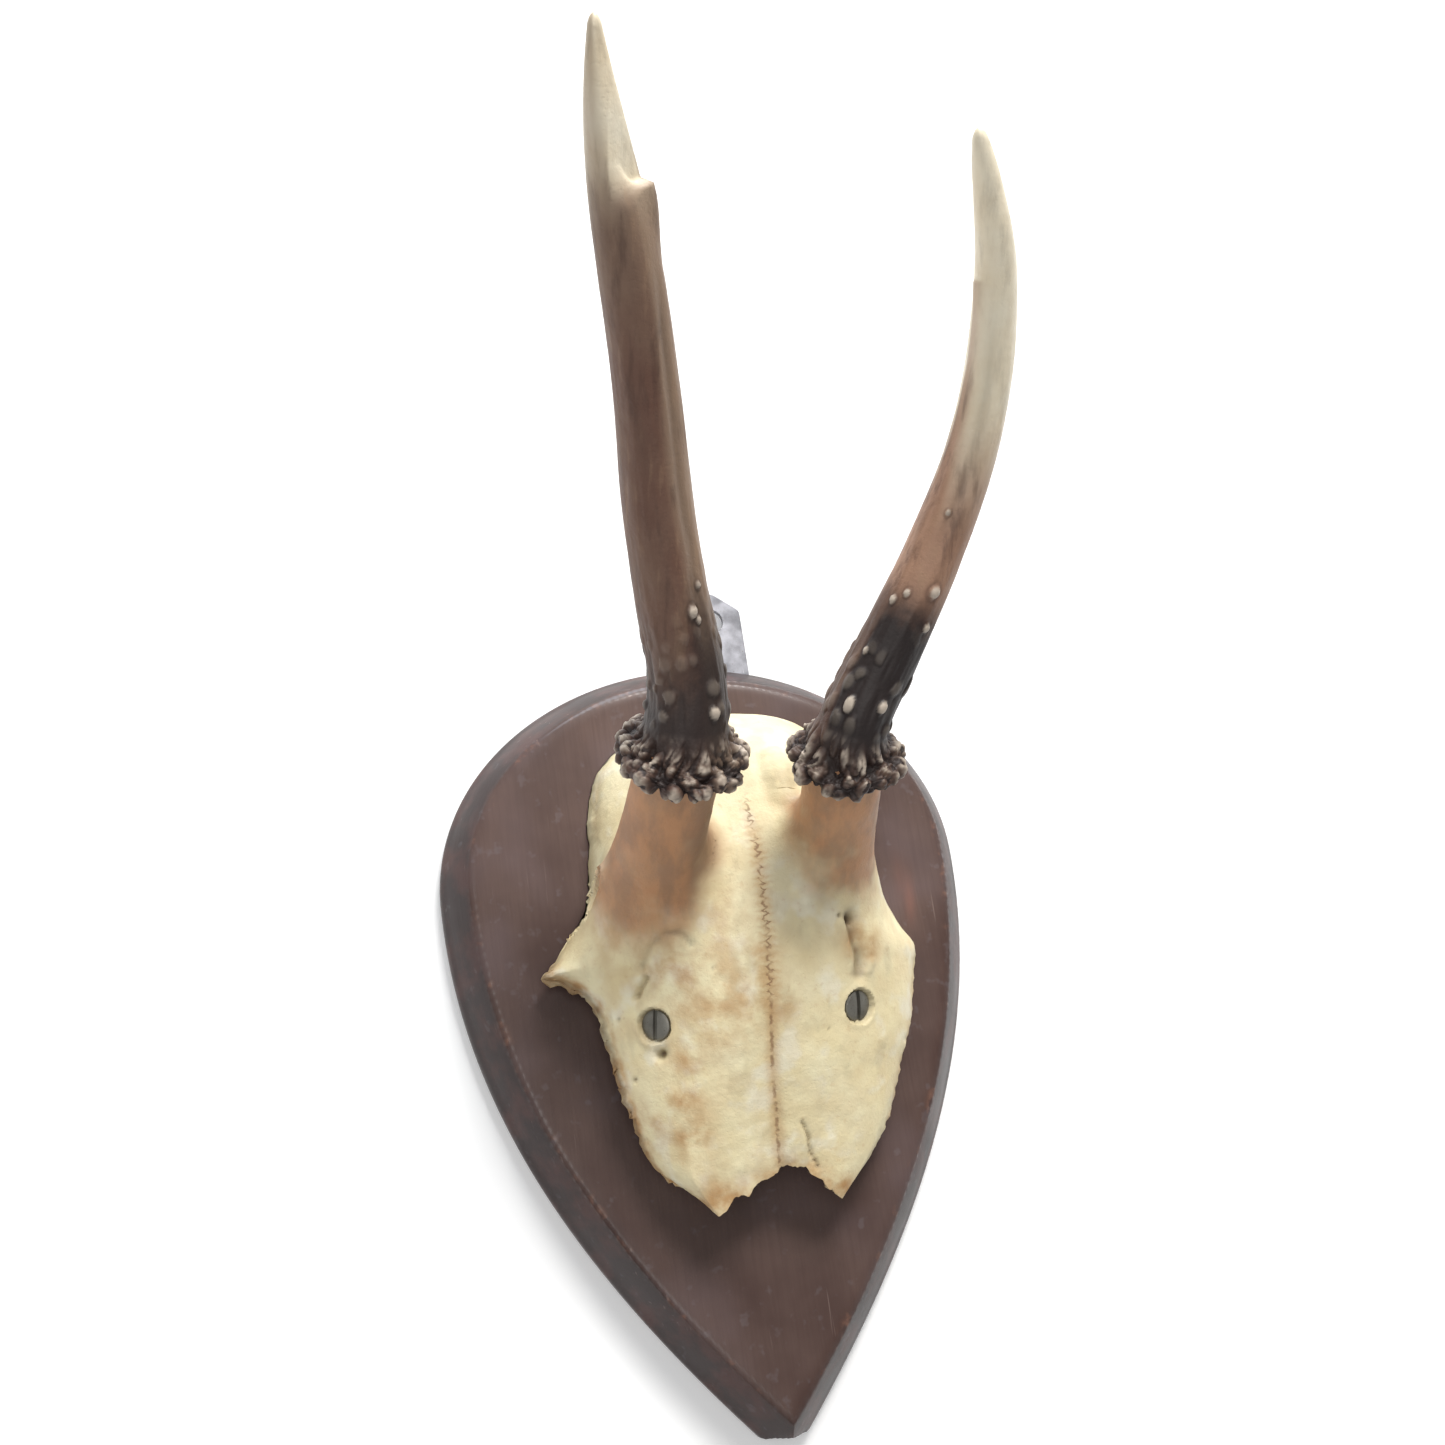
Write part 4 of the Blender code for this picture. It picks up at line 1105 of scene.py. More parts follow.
def bone_relief(place):
    """Height to add to the bone at places in the skull's frame, and the masks that colour it: noise, the seam's
    gutter, creases, pits and a groove, each as a bell across its line."""
    across, out, along = np.moveaxis(place, -1, 0)
    seam_side = across - np.interp(along, SEAM_ALONG, SEAM_ACROSS)
    on_top = ease(out, 8.0, 14.0)
    relief = -0.32 * bell(seam_side, 1.1) * ease(-along, -30.0, -24.0) * on_top
    crease = distance_to_line(across, along, LEFT_CREASE) + 0.25 * lattice_noise(place, 1.6, 21)
    crescent = distance_to_line(across, along, CRESCENT)
    groove = distance_to_line(across, along, RIGHT_GROOVE)
    ridge = distance_to_line(across, along, RIGHT_RIDGE) + 0.45 * lattice_noise(place, 2.0, 24)
    crack = distance_to_line(across, along, NOSE_CRACK) + 0.2 * lattice_noise(place, 1.2, 22)
    relief += on_top * (-0.5 * bell(crease, 0.8) - 1.3 * bell(crescent, 0.65) - 1.5 * bell(groove, 1.6))
    relief += on_top * (0.55 * bell(ridge, 0.8) - 0.7 * bell(crack, 0.35))
    broken = 0.6 + 0.4 * lattice_noise(place, 1.8, 23)
    # Creases, the crescent, the crack, the groove and the pits are darkened: grime, and painted shade.
    crevice_grime_and_shade = broken * (0.5 * bell(crease, 0.6) + 0.95 * bell(crescent, 0.6) + 0.9 * bell(crack, 0.35))
    crevice_grime_and_shade = crevice_grime_and_shade + broken * 0.85 * bell(groove, 1.2)
    for pit_across, pit_along, radius, depth in PITS:
        pit = np.hypot(across - pit_across, along - pit_along)
        relief -= on_top * depth * bell(pit, radius)
        crevice_grime_and_shade = crevice_grime_and_shade + min(1.0, 0.5 + 0.4 * depth) * bell(pit, 0.8 * radius)
    stain = 0.15 + 0.1 * layered_noise(place, 16.0, 31)
    for spot_across, spot_along, reach, strength in STAINS:
        spot = np.hypot(across - spot_across, along - spot_along)
        stain = stain + strength * bell(spot, reach)
    dull = 0.12 * ease(layered_noise(place, 13.0, 33), 0.0, 0.6)
    for spot_across, spot_along, reach, strength in DULL_SPOTS:
        dull = dull + strength * bell(np.hypot(across - spot_across, along - spot_along), reach)
    masks = {
        "crevice_grime_and_shade": np.clip(crevice_grime_and_shade * on_top, 0.0, 1.0),
        "grey": np.clip(dull, 0.0, 1.0),
        "stain": np.clip(stain, 0.0, 1.0),
        "seam_side": np.where(out > 3.0, seam_side, FAR_FROM_SEAM),
        "seam_run": along,
    }
    return relief, masks


def pedicle_masks(place):
    """Brown near the pedicles: how far a place is from them, with a ragged edge; and painted shade on their inner
    sides, stronger on the left one.
    """
    brown, dun_and_painted_shade = np.zeros(len(place)), np.zeros(len(place))
    ragged = layered_noise(place, 6.0, 41)
    for side, far in (("left", 6.0), ("right", 3.4)):
        foot, top = np.array(PEDICLE_FOOT[side]), np.array(CORONET_PLACE[side])
        axis = unit(top - foot)
        balls = stick(pedicle_stations(side), 60)
        distance, outward = stick_field(place, balls)
        climb = (place - foot) @ axis
        near = 1.0 - ease(distance + 2.2 * ragged - 0.06 * (climb - 20.0), -0.6, far)
        brown = np.maximum(brown, near * ease(climb + 3.0 * ragged, 0.0, 15.0))
        # The side of each pedicle facing the seam gets painted shade.
        inner = outward[:, 0] * (1.0 if side == "left" else -0.4)
        dun_and_painted_shade = np.maximum(dun_and_painted_shade, near * ease(inner + 0.35 * ragged, 0.15, 0.8) * (0.9 if side == "left" else 0.4))
    return {"brown": brown * 0.96, "dun_and_painted_shade": dun_and_painted_shade}


def finish_bone(place, normals, relief_height):
    """Adds the relief along the normals and returns world places and masks."""
    flat = place.reshape(-1, 3)
    relief, masks = bone_relief(flat)
    broad = relief_height * layered_noise(flat, 9.0, 11) + 0.35 * relief_height * layered_noise(flat, 2.6, 12)
    moved = flat + (relief + broad)[:, None] * normals.reshape(-1, 3)
    masks.update(pedicle_masks(flat))
    # Low spots of the relief are darkened a little: painted shade.
    masks["crevice_grime_and_shade"] = np.clip(masks["crevice_grime_and_shade"] + ease(-broad / relief_height, 0.75, 1.3) * 0.2, 0.0, 1.0)
    return moved.reshape(place.shape), masks


def screw_seat(side):
    """The middle of a screw head's widest line and the way it faces, in the skull's frame: it leans a quarter more
    than the bone's own slope there and lies a little below its surface."""
    across, along = SCREW_SEATS[side]
    spot = np.array([[across, 0.0, along]])
    spot[0, 1] = float(cap_height(spot[:, 0], spot[:, 2])[0])
    slope = cap_field(spot)[1][0]
    facing = unit(SEAT_LEAN * slope + (1.0 - SEAT_LEAN) * np.array([0.0, 1.0, 0.0]))
    return spot[0] - HEAD_SUNK * facing, facing


def sink_for_screws(place):
    """Lowers the bone under each screw head to a flat seat square to the head, with a raised lip round it."""
    moved = place.copy()
    rim = np.zeros(place.shape[:-1])
    for side in SIDES:
        centre, facing = screw_seat(side)
        step = place - centre
        height = step @ facing
        distance = np.linalg.norm(step - height[..., None] * facing, axis=-1)
        distance = distance + 0.12 * lattice_noise(place, 1.3, 51)
        near = np.abs(height) < 6.0
        inside = near * (1.0 - ease(distance, HEAD_RADIUS + 0.05, HEAD_RADIUS + 0.55))
        lip = near * SEAT_LIP * bell(distance - HEAD_RADIUS - 1.0, 0.5)
        moved = moved + (inside * (-SEAT_DEPTH - height) + lip)[..., None] * facing
        rim = np.maximum(rim, near * bell(distance - HEAD_RADIUS - 0.1, 0.4))
    return moved, rim


def nose_fade(along):
    """1 at the end of the nose, falling evenly to 0 where its cut no longer draws the rows."""
    return np.clip(1.0 - (along - CAP_STATIONS[0][0]) / NOSE_CUT_REACH, 0.0, 1.0)


def cap_surface(share, along):
    """The cap's outer points before anything joins it: the height over each share of the half width, the rows at
    the nose drawn by its table, and rims made ragged by noise. Also how ragged and how scorched each place is."""
    across = cap_across(share, along)
    zero = 0 * across
    edge_place = np.stack([across, zero + 5.0, along + zero], -1)
    ragged = 0.55 * layered_noise(edge_place, 3.2, 61) + 0.35 * lattice_noise(edge_place, 1.1, 62)
    height = cap_height_at(share, across, along + zero)
    at_nose = np.clip(1.0 - (along + 50.0) / 4.0, 0.0, 1.0) ** 1.5
    at_nose = at_nose * ease(share, -0.72, -0.6) * ease(-share, -0.9, -0.75)
    jag = 1.5 * layered_noise(np.stack([across, zero, zero], -1), 2.8, 63, 4) * at_nose
    cut = nose_fade(along) * np.interp(share, NOSE_SHARES, NOSE_REACH)
    place = np.stack([across, height, along - cut + jag], -1)
    rim_only = ease(np.abs(share), 0.93, 1.0)
    scorched = ease(-share, 0.0, 0.5) * ease(-along, -3.0, 1.0) * ease(along, -48.0, -40.0)
    place[..., 0] += rim_only * ragged * np.sign(share) * (1.0 + 0.5 * scorched)
    place[..., 2] += rim_only * scorched * 0.8 * lattice_noise(edge_place, 1.3, 64)
    return place, ragged, scorched


def stain_rims(masks, share, along, out, ragged, scorched):
    """Adds to the masks what darkens the rims: stain all round and at the nose, and burns where it is scorched."""
    edge = ease(np.abs(share), 0.93, 1.0) * ease(out, 2.0, 6.0) * (0.55 + 0.4 * ragged)
    edge = edge + 0.8 * scorched * ease(np.abs(share), 0.94, 0.99)
    nose = np.clip(1.0 - (along + 50.0) / 3.5, 0.0, 1.0) * (0.6 + 0.4 * ragged)
    burn = scorched * ease(np.abs(share), 0.968, 0.996) * np.clip(0.45 + 0.6 * ragged, 0.0, 1.0)
    masks["crevice_grime_and_shade"] = np.maximum(masks["crevice_grime_and_shade"], burn.ravel())
    masks["stain"] = np.clip(masks["stain"] + np.maximum(edge, nose).ravel(), 0.0, 1.0)


def rounded_rim(outer_edge, inner_edge, sign):
    """Points of a flat half round from the outer edge to the inner one, bulging to one side of the cap."""
    middle, half = (outer_edge + inner_edge) / 2, (outer_edge - inner_edge) / 2
    bulge = 0.35 * np.linalg.norm(half, axis=-1)[:, None] * np.array([sign, 0.0, 0.0])
    turn = np.linspace(0.0, pi, RIM_POINTS + 2)[1:-1]
    points = np.stack([middle + cos(a) * half + sin(a) * bulge for a in turn], 1)
    points[..., 1] = np.maximum(points[..., 1], RIM_CLEARANCE)
    return points


def cap_faces(rows, half_columns):
    """The band's quads, and at the nose and the crown the strips between the outer line and the lining."""
    outer_columns = 2 * half_columns - 1
    first_inner = outer_columns + RIM_POINTS + half_columns - 1
    columns = first_inner + 1 + RIM_POINTS
    faces = tube_faces(rows, columns).tolist()
    for base in (0, (rows - 1) * columns):
        for i in range(half_columns - 1):
            inner = base + first_inner - i
            faces.append([base + 2 * i, base + 2 * i + 1, base + 2 * i + 2, inner - 1, inner])
        faces.append([base + k for k in range(outer_columns - 1, outer_columns + RIM_POINTS + 1)])
        faces.append([base + k for k in range(first_inner, columns)] + [base])
    return faces


def spread_over_band(masks, rows, columns):
    """Carries the outer points' masks to the rims and the lining, which has no seam and is darker all over."""
    full = {}
    for key, values in masks.items():
        grid = values.reshape(rows, columns)
        rim_right = np.repeat(grid[:, -1:], RIM_POINTS, axis=1)
        rim_left = np.repeat(grid[:, :1], RIM_POINTS, axis=1)
        lining = grid[:, ::2][:, ::-1].copy()
        if key == "seam_side":
            lining[:] = FAR_FROM_SEAM
        # The lining is darkened all over.
        if key == "stain":
            lining = np.clip(lining + 0.45, 0.0, 1.0)
        full[key] = np.concatenate([grid, rim_right, lining, rim_left], axis=1).ravel()
    return full


def make_cap_shell(settings, sticks):
    """The cap as one closed band: for each row along the seam the outer line across, a rounded rim, the inner
    line back and the other rim; the rows at the nose and the crown are closed by strips between the two lines."""
    columns = 2 * CAP_HALF_COLUMNS - 1
    along = np.linspace(CAP_STATIONS[0][0], CAP_STATIONS[-1][0], CAP_ROWS)[:, None]
    share = np.sin(np.linspace(-pi / 2, pi / 2, columns))[None, :]
    plain, ragged, scorched = cap_surface(share, along)
    plain_normals = grid_normals(plain, np.array([0.0, 1.0, 0.0]))
    thinned = (1.0 - 0.5 * np.abs(share) ** 5) * (1.0 - 0.3 * nose_fade(along))
    thickness = WALL * thinned * (1.0 + 0.12 * ragged)
    inner = (plain - thickness[..., None] * plain_normals)[:, ::2]
    flat = plain.reshape(-1, 3)
    others = np.min([stick_field(flat, balls)[0] for balls, _ in sticks], axis=0)
    place, normals = (made.reshape(plain.shape) for made in draw_to_join(flat, others, sticks, PEDICLE_FILLET))
    near = (others < PEDICLE_FILLET + JOIN_MARGIN).reshape(ragged.shape)[..., None]
    normals = np.where(near, normals, plain_normals)
    outer, masks = finish_bone(place, normals, settings.relief / MM)
    outer, rim_mask = sink_for_screws(outer)
    # A darker ring where each screw head meets the bone: painted shade.
    masks["crevice_grime_and_shade"] = np.maximum(masks["crevice_grime_and_shade"], 0.4 * rim_mask.ravel())
    stain_rims(masks, share, along, place[..., 1], ragged, scorched)
    outer[..., 1] = np.maximum(outer[..., 1], RIM_CLEARANCE)
    inner[..., 1] = np.maximum(inner[..., 1], RIM_CLEARANCE)
    right_rim = rounded_rim(outer[:, -1], inner[:, -1], 1.0)
    left_rim = rounded_rim(outer[:, 0], inner[:, 0], -1.0)[:, ::-1]
    rings = np.concatenate([outer, right_rim, inner[:, ::-1], left_rim], axis=1)
    faces = cap_faces(CAP_ROWS, CAP_HALF_COLUMNS)
    return skull_to_world(rings.reshape(-1, 3)), faces, spread_over_band(masks, CAP_ROWS, columns)


def make_bone_stick(stations, rows, sides, reach, sticks, own, settings):
    """A round form about a path, drawn to its join with everything else and given the same relief."""
    table = through(stations, np.linspace(0.0, 1.0, rows))
    along, across, up = frames_along(table[:, :3])
    angle = np.linspace(0.0, 2 * pi, sides, endpoint=False)[None, :, None]
    spokes = np.cos(angle) * across[:, None] + np.sin(angle) * up[:, None]
    rings = table[:, None, :3] + table[:, None, 3:4] * spokes
    flat = rings.reshape(-1, 3)
    others = cap_field(flat)[0]
    for k, (balls, _) in enumerate(sticks):
        if k != own:
            others = np.minimum(others, stick_field(flat, balls)[0])
    rings, normals = (made.reshape(rings.shape) for made in draw_to_join(flat, others, sticks, reach))
    finished, masks = finish_bone(rings, normals, settings.relief / MM)
    finished[..., 1] = np.maximum(finished[..., 1], 1.0)
    shaped = {key: values.reshape(rows, sides) for key, values in masks.items()}
    return closed_tube(skull_to_world(finished), shaped)


def make_skull_cap(settings):
    """The cap, both pedicles and a low knob by the right one, smoothly joined, as one piece of bone."""
    stations = [pedicle_stations("left"), pedicle_stations("right"), KNOB]
    reaches = [PEDICLE_FILLET, PEDICLE_FILLET, KNOB_FILLET]
    sticks = [(stick(rows, 60), reach) for rows, reach in zip(stations, reaches)]
    parts = [make_cap_shell(settings, sticks)]
    sizes = ((110, 96), (110, 96), (40, 36))
    for own, (rows, sides) in enumerate(sizes):
        parts.append(make_bone_stick(stations[own], rows, sides, reaches[own], sticks, own, settings))
    return build_piece("skull_cap", parts, bone_material(settings), 48.0)


# The antlers


def antler_spine(side, climb):
    """The middle line at distances up from the coronet's middle, and the beam's radius there: up the lean with a
    slight bow and the sideways curve of the table. Below the foot's bend of length b it is blended into the
    coronet's own axis, whose weight at a distance c is (1 - c / b)^2."""
    length = ANTLER_LENGTH[side]
    share = np.clip(climb / length, 0.0, 1.0)
    aside, radius = through(BEAMS[side], share).T
    foot = skull_to_world(PEDICLE_FOOT[side])
    coronet = skull_to_world(CORONET_PLACE[side])
    direction = np.array([0.0, -sin(FORWARD_LEAN), cos(FORWARD_LEAN)])
    square = np.array([0.0, cos(FORWARD_LEAN), sin(FORWARD_LEAN)])
    bow = ANTLER_BOW * length * np.sin(pi * share)
    beam = coronet + climb[:, None] * direction + bow[:, None] * square + (aside * length)[:, None] * X_AXIS
    axis = unit(3.0 * unit(coronet - foot) + direction)
    blended = 1.0 - (1.0 - np.clip(climb / FOOT_BEND, 0.0, 1.0))[:, None] ** 2
    return (1.0 - blended) * (coronet + climb[:, None] * axis) + blended * beam, radius


def antler_profile(side):
    """Rows of (distance up, radius): the coronet's rounded lip, which hangs over the pedicle, then the beam with
    its end rounded off."""
    radius = CORONET_RADIUS[side]
    stations = [(order, climb, share * radius) for order, climb, share in CORONET_PROFILE]
    top_radius = float(antler_spine(side, np.array([CORONET_TOP]))[1][0])
    stations.append((9.0, CORONET_TOP, top_radius))
    lip = through(stations, np.linspace(0.0, 9.0, 110))
    length = ANTLER_LENGTH[side]
    climb = np.linspace(CORONET_TOP, length, 300)[1:]
    past = (climb - length + TIP_ROUNDING).clip(0.0) / (1.01 * TIP_ROUNDING)
    rounding = np.sqrt(np.clip(1.0 - past**2, 0.01, 1.0))
    beam = np.stack([climb, antler_spine(side, climb)[1] * rounding], -1)
    return np.vstack([lip, beam])


def degrees_round(angle):
    """An angle in degrees from -180 to 180."""
    return np.degrees(np.arctan2(np.sin(angle), np.cos(angle)))


def left_tip(radius, share, angle):
    """Cuts the worn facet into the left antler's end: the radius is held to a plane's distance c / cos(angle),
    and c grows back to the full radius away from the snag, which stands out as a small point at the facet's foot.
    Returns the radius and a mask."""
    turn = degrees_round(angle)
    round_to_snag = ease(np.abs(turn - SNAG_DEGREES), 12.0, 80.0)
    ledge = SNAG_SHARE - 0.022 * round_to_snag
    above = ease(share, ledge, ledge + 0.008 + 0.06 * round_to_snag)
    depth = (0.56 + 0.40 * ease(share, SNAG_SHARE, 0.97)) * radius
    plane = depth / np.maximum(np.cos(np.radians(turn - FACET_DEGREES)), 0.08)
    part = np.clip(0.5 + 0.5 * (plane - radius) / FACET_ROUND_OFF, 0.0, 1.0)
    cut = plane * (1.0 - part) + radius * part - FACET_ROUND_OFF * part * (1.0 - part)
    soft = 1.0 - ease(share, 0.95, 1.0)
    below = ease(share, 0.68, SNAG_SHARE - 0.004) * (1.0 - above)
    shaped = radius + SNAG_HEIGHT * bell(turn - SNAG_DEGREES, 22.0) * below + above * soft * (cut - radius)
    return shaped, above * ease(radius - cut, -0.1, 0.6)


def right_step(share, turn):
    """A low step in the right antler that ends short of its tip, as a height and as what dulls the pale horn."""
    step = ease(-share, -0.785, -0.775) * ease(share, 0.70, 0.78) * bell(turn + 165.0, 28.0)
    dulled = ease(-share, -0.782, -0.776) * bell(turn + 168.0, 24.0) * ease(share, 0.45, 0.6)
    return 0.55 * step, 0.55 * dulled


def beam_frames(side, climb, angle):
    """At each distance up the spine: its point, its direction, and the spokes out from it at each angle."""
    spine_climb = np.linspace(-8.0, ANTLER_LENGTH[side], 900)
    spine, _ = antler_spine(side, spine_climb)
    along_all, across_all, _ = frames_along(spine)

    def at(table):
        return np.stack([np.interp(climb, spine_climb, table[:, k]) for k in range(3)], -1)

    centre, along, across = at(spine), unit(at(along_all)), unit(at(across_all))
    up = np.cross(along, across)
    spokes = np.cos(angle)[..., None] * across[:, None] + np.sin(angle)[..., None] * up[:, None]
    return centre, along, spokes


def coronet_relief(place, climb, rise, angle, petals, seed, pearl_height):
    """Rows of pearls round the coronet with lumps and grit on them, each from cell_bumps of its own size: how far
    they push the surface out, the crevices between them, their pale tips, where the coronet is, and the noise."""
    warp = 0.5 * lattice_noise(place, 5.0, seed)
    u = angle / (2 * pi) * petals + warp
    v = rise / PEARL_ROW + 0.25 * lattice_noise(place, 6.0, seed + 1)
    domes, rank = cell_bumps(u, v, petals, seed + 2)
    lump_count = round(1.7 * petals)
    lumps, _ = cell_bumps(u * lump_count / petals, rise / LUMP_ROW + warp, lump_count, seed + 6)
    grit, _ = cell_bumps(angle / (2 * pi) * 3 * petals, rise / GRIT_ROW + warp, 3 * petals, seed + 7)
    fine = layered_noise(place, 1.3, seed + 9)
    lip = ease(rise, 1.0, 3.6) * (1.0 - ease(climb, -0.6, 5.0))
    height = pearl_height * (0.45 + 0.9 * rank)
    push = lip * (height * (domes - 0.5) + 0.5 * (lumps - 0.5) + 0.28 * (grit - 0.5) + 0.4 * fine)
    crest = ease(domes, 0.30, 0.72) * ease(lumps, 0.0, 0.4) * (0.6 + 0.4 * ease(grit, 0.1, 0.5))
    tips = lip * ease(domes, 0.66, 0.97) * ease(lumps, 0.1, 0.7) * ease(fine + 0.6 * rank, -0.2, 0.7)
    return push, lip * (1.0 - crest), tips, lip, fine


def add_small_pearls(push, crevice, share, climb, rise, angle, seed):
    """Scatters low pearls about the beam's foot, keeping the cells of highest rank."""
    u = angle / (2 * pi) * SMALL_PEARLS_ROUND
    small, small_rank = cell_bumps(u, rise / SMALL_PEARL_ROW, SMALL_PEARLS_ROUND, seed + 5)
    kept = ease(small_rank, 0.72, 0.80) * ease(-share, -0.26, -0.03) * ease(climb, 3.0, 8.0)
    pearl = 0.22 * kept * ease(small, 0.5, 0.95)
    return push + 0.65 * kept * small**1.5, crevice * (1.0 - 0.8 * kept * small), pearl


def add_lone_pearls(push, crevice, pearl, side, climb, radius, angle, fine):
    """Adds the table's pearls, each a dome sqrt(1 - d^2) drawn out a little up the beam, with a dark ring of
    painted shade round its foot.
    """
    for at_share, degrees, size, height in LONE_PEARLS[side]:
        turned = np.arctan2(np.sin(angle - radians(degrees)), np.cos(angle - radians(degrees)))
        away = np.hypot(turned * radius, (climb - at_share * ANTLER_LENGTH[side]) / 1.2) / (0.9 * size)
        away = away + 0.35 * fine * ease(-away, -1.6, -0.6)
        dome = np.sqrt(np.clip(1.0 - away**2, 0.0, 1.0))
        push = push + height * dome
        pearl = np.maximum(pearl, 0.95 * ease(dome, 0.25, 0.8))
        crevice = crevice * (1.0 - dome) + 0.35 * bell(away - 1.25, 0.3)
    return push, crevice, pearl


def left_colours(share, turn, broad, fine):
    """The left beam's gutter, and where it is dark, dun, pale and rosy, by the share of the length and the
    degrees round it, both made uneven by the noises. The dun band down its right side is a painted grey sheen."""
    gutter = bell(turn + 62.0 - 18.0 * share, 13.0) * ease(share, 0.10, 0.2) * ease(-share, -0.74, -0.6)
    # A painted grey sheen down the beam's right side, in the dun colour.
    dun = ease(turn, -86.0, -58.0) * ease(-turn, -100.0, -60.0)
    dun = np.maximum(dun, 0.8 * ease(share + 0.08 * broad, 0.5, 0.84))
    reach = 0.15 + 0.08 * ease(turn, -105.0, -70.0) + 0.05 * broad + 0.02 * fine
    dark = 0.92 * (1.0 - ease(share, reach - 0.10, reach + 0.08))
    pale = 0.55 * ease(share + 0.05 * broad, 0.72, 0.92)
    pale = pale + 0.35 * ease(share, 0.80, 0.84) * ease(turn, -128.0, -96.0) * ease(-turn, -60.0, -20.0)
    return gutter, dark, dun, pale, 0.12 + 0 * share


def right_colours(share, turn, broad, fine):
    """The same for the right beam."""
    gutter = 0.7 * bell(turn + 98.0 + 20.0 * share, 12.0) * ease(share, 0.3, 0.4) * ease(-share, -0.8, -0.6)
    dun = 0.12 + 0.5 * ease(share + 0.06 * broad, 0.34, 0.6)
    band = ease(-turn, 146.0, 166.0) + ease(turn, 120.0, 150.0)
    reach = 0.225 + 0.035 * broad + 0.015 * fine
    dark = (1.0 - ease(share, reach - 0.035, reach + 0.03)) * (1.0 - 0.75 * band * ease(share, 0.0, 0.03))
    pale = ease(share + 0.05 * broad - 0.1 * ease(-turn, 130.0, 165.0), 0.36, 0.62)
    return gutter, dark, dun, pale, ease(share, 0.225, 0.30)


def make_antler(side, settings):
    """Rings about the spine, each pushed along the profile's own normal by pearls on the coronet, ridges that run
    up the beam, lone pearls and gutters; the masks for its colours come from the same functions."""
    profile = antler_profile(side)
    climb, radius = profile[:, :1], profile[:, 1:]
    angle = np.linspace(0.0, 2 * pi, ANTLER_COLUMNS, endpoint=False)[None, :]
    centre, along, spokes = beam_frames(side, profile[:, 0], angle)
    step = np.gradient(profile, axis=0)
    level = ease(climb, 0.5, CORONET_TOP)
    outward = (1.0 - level) * unit(np.stack([-step[:, 1], step[:, 0]], -1)) + level * np.array([0.0, 1.0])
    outward = unit(outward)
    rise = np.concatenate([[0.0], np.cumsum(np.hypot(*np.diff(profile, axis=0).T))])[:, None]
    share = climb / ANTLER_LENGTH[side] + 0 * angle
    place = np.stack([radius * np.cos(angle), radius * np.sin(angle), rise + 0 * angle], -1)
    seed = ANTLER_SEED[side]
    petals = settings.petals if side == "left" else settings.petals - 3

    pearl_height = settings.pearl_height / MM
    push, crevice, tips, lip, fine = coronet_relief(place, climb, rise, angle, petals, seed, pearl_height)
    ridges = layered_noise(place * [1.0, 1.0, 0.14], 2.6, seed + 3)
    broad = layered_noise(place * [1.0, 1.0, 0.35], 9.0, seed + 4)
    on_beam = ease(climb, 1.0, 9.0)
    strength = settings.ridge_height / MM * through(RIDGE_FADE, share[:, 0])
    push = push + on_beam * (strength * ridges + 0.5 * strength * broad)
    # The valleys between the ridges near the foot are darkened: painted shade.
    crevice = crevice + on_beam * 0.55 * ease(-ridges, 0.18, 0.6) * ease(-share, -0.34, -0.1)
    push, crevice, pearl = add_small_pearls(push, crevice, share, climb, rise, angle, seed)
    push, crevice, pearl = add_lone_pearls(push, crevice, pearl, side, climb, radius, angle, fine)

    turn = degrees_round(angle) + 14.0 * broad
    colours = left_colours if side == "left" else right_colours
    gutter, dark, dun, pale, rosy = colours(share, turn, broad, fine)
    push = push - 0.55 * gutter
    crevice = crevice + 0.3 * gutter * (share < 0.75)
    surface_radius = radius + push * outward[:, None, 1]
    if side == "left":
        surface_radius, facet = left_tip(surface_radius, share, angle)
        pale = np.maximum(pale, 0.95 * facet)
    else:
        raised, dulled = right_step(share, turn)
        surface_radius, facet = surface_radius + raised, 0.0 * share
        pale = pale * (1.0 - dulled)
    sideways = surface_radius[..., None] * spokes
    rings = centre[:, None] + sideways + (push * outward[:, None, 0])[..., None] * along[:, None]
    masks = {
        # Crevices, gutters and the pearls' feet darkened: the horn's own dark, and painted shade.
        "crevice_grime_and_shade": np.clip(crevice, 0.0, 1.0) * (1.0 - facet),
        "pearl": np.clip(np.maximum(pearl, 1.1 * tips), 0.0, 1.0),
        "dark": np.clip(dark * (1.0 - 0.3 * tips) * (1.0 - 0.45 * lip), 0.0, 1.0),
        "dun": np.clip(dun, 0.0, 1.0),
        "pale": np.clip(pale, 0.0, 1.0),
        "rosy": np.clip(rosy, 0.0, 1.0),
        "fibre": np.clip(0.5 + 0.5 * ridges, 0.0, 1.0) * (1.0 - facet),
    }
    return rings, masks


# Screws and strip


def dome_profile(length):
    """A skull screw's section from the dome's middle to its point, as (distance along Y, radius) rows."""
    rim = 0.35
    return [(-HEAD_DOME * cos(a), HEAD_RADIUS * sin(a)) for a in np.linspace(0.04, pi / 2, 12)] + [
        (rim, HEAD_RADIUS),
        (rim + HEAD_CONE, SHANK_RADIUS),
        (length - SCREW_POINT, SHANK_RADIUS),
        (length, 0.15 * SHANK_RADIUS),
    ]


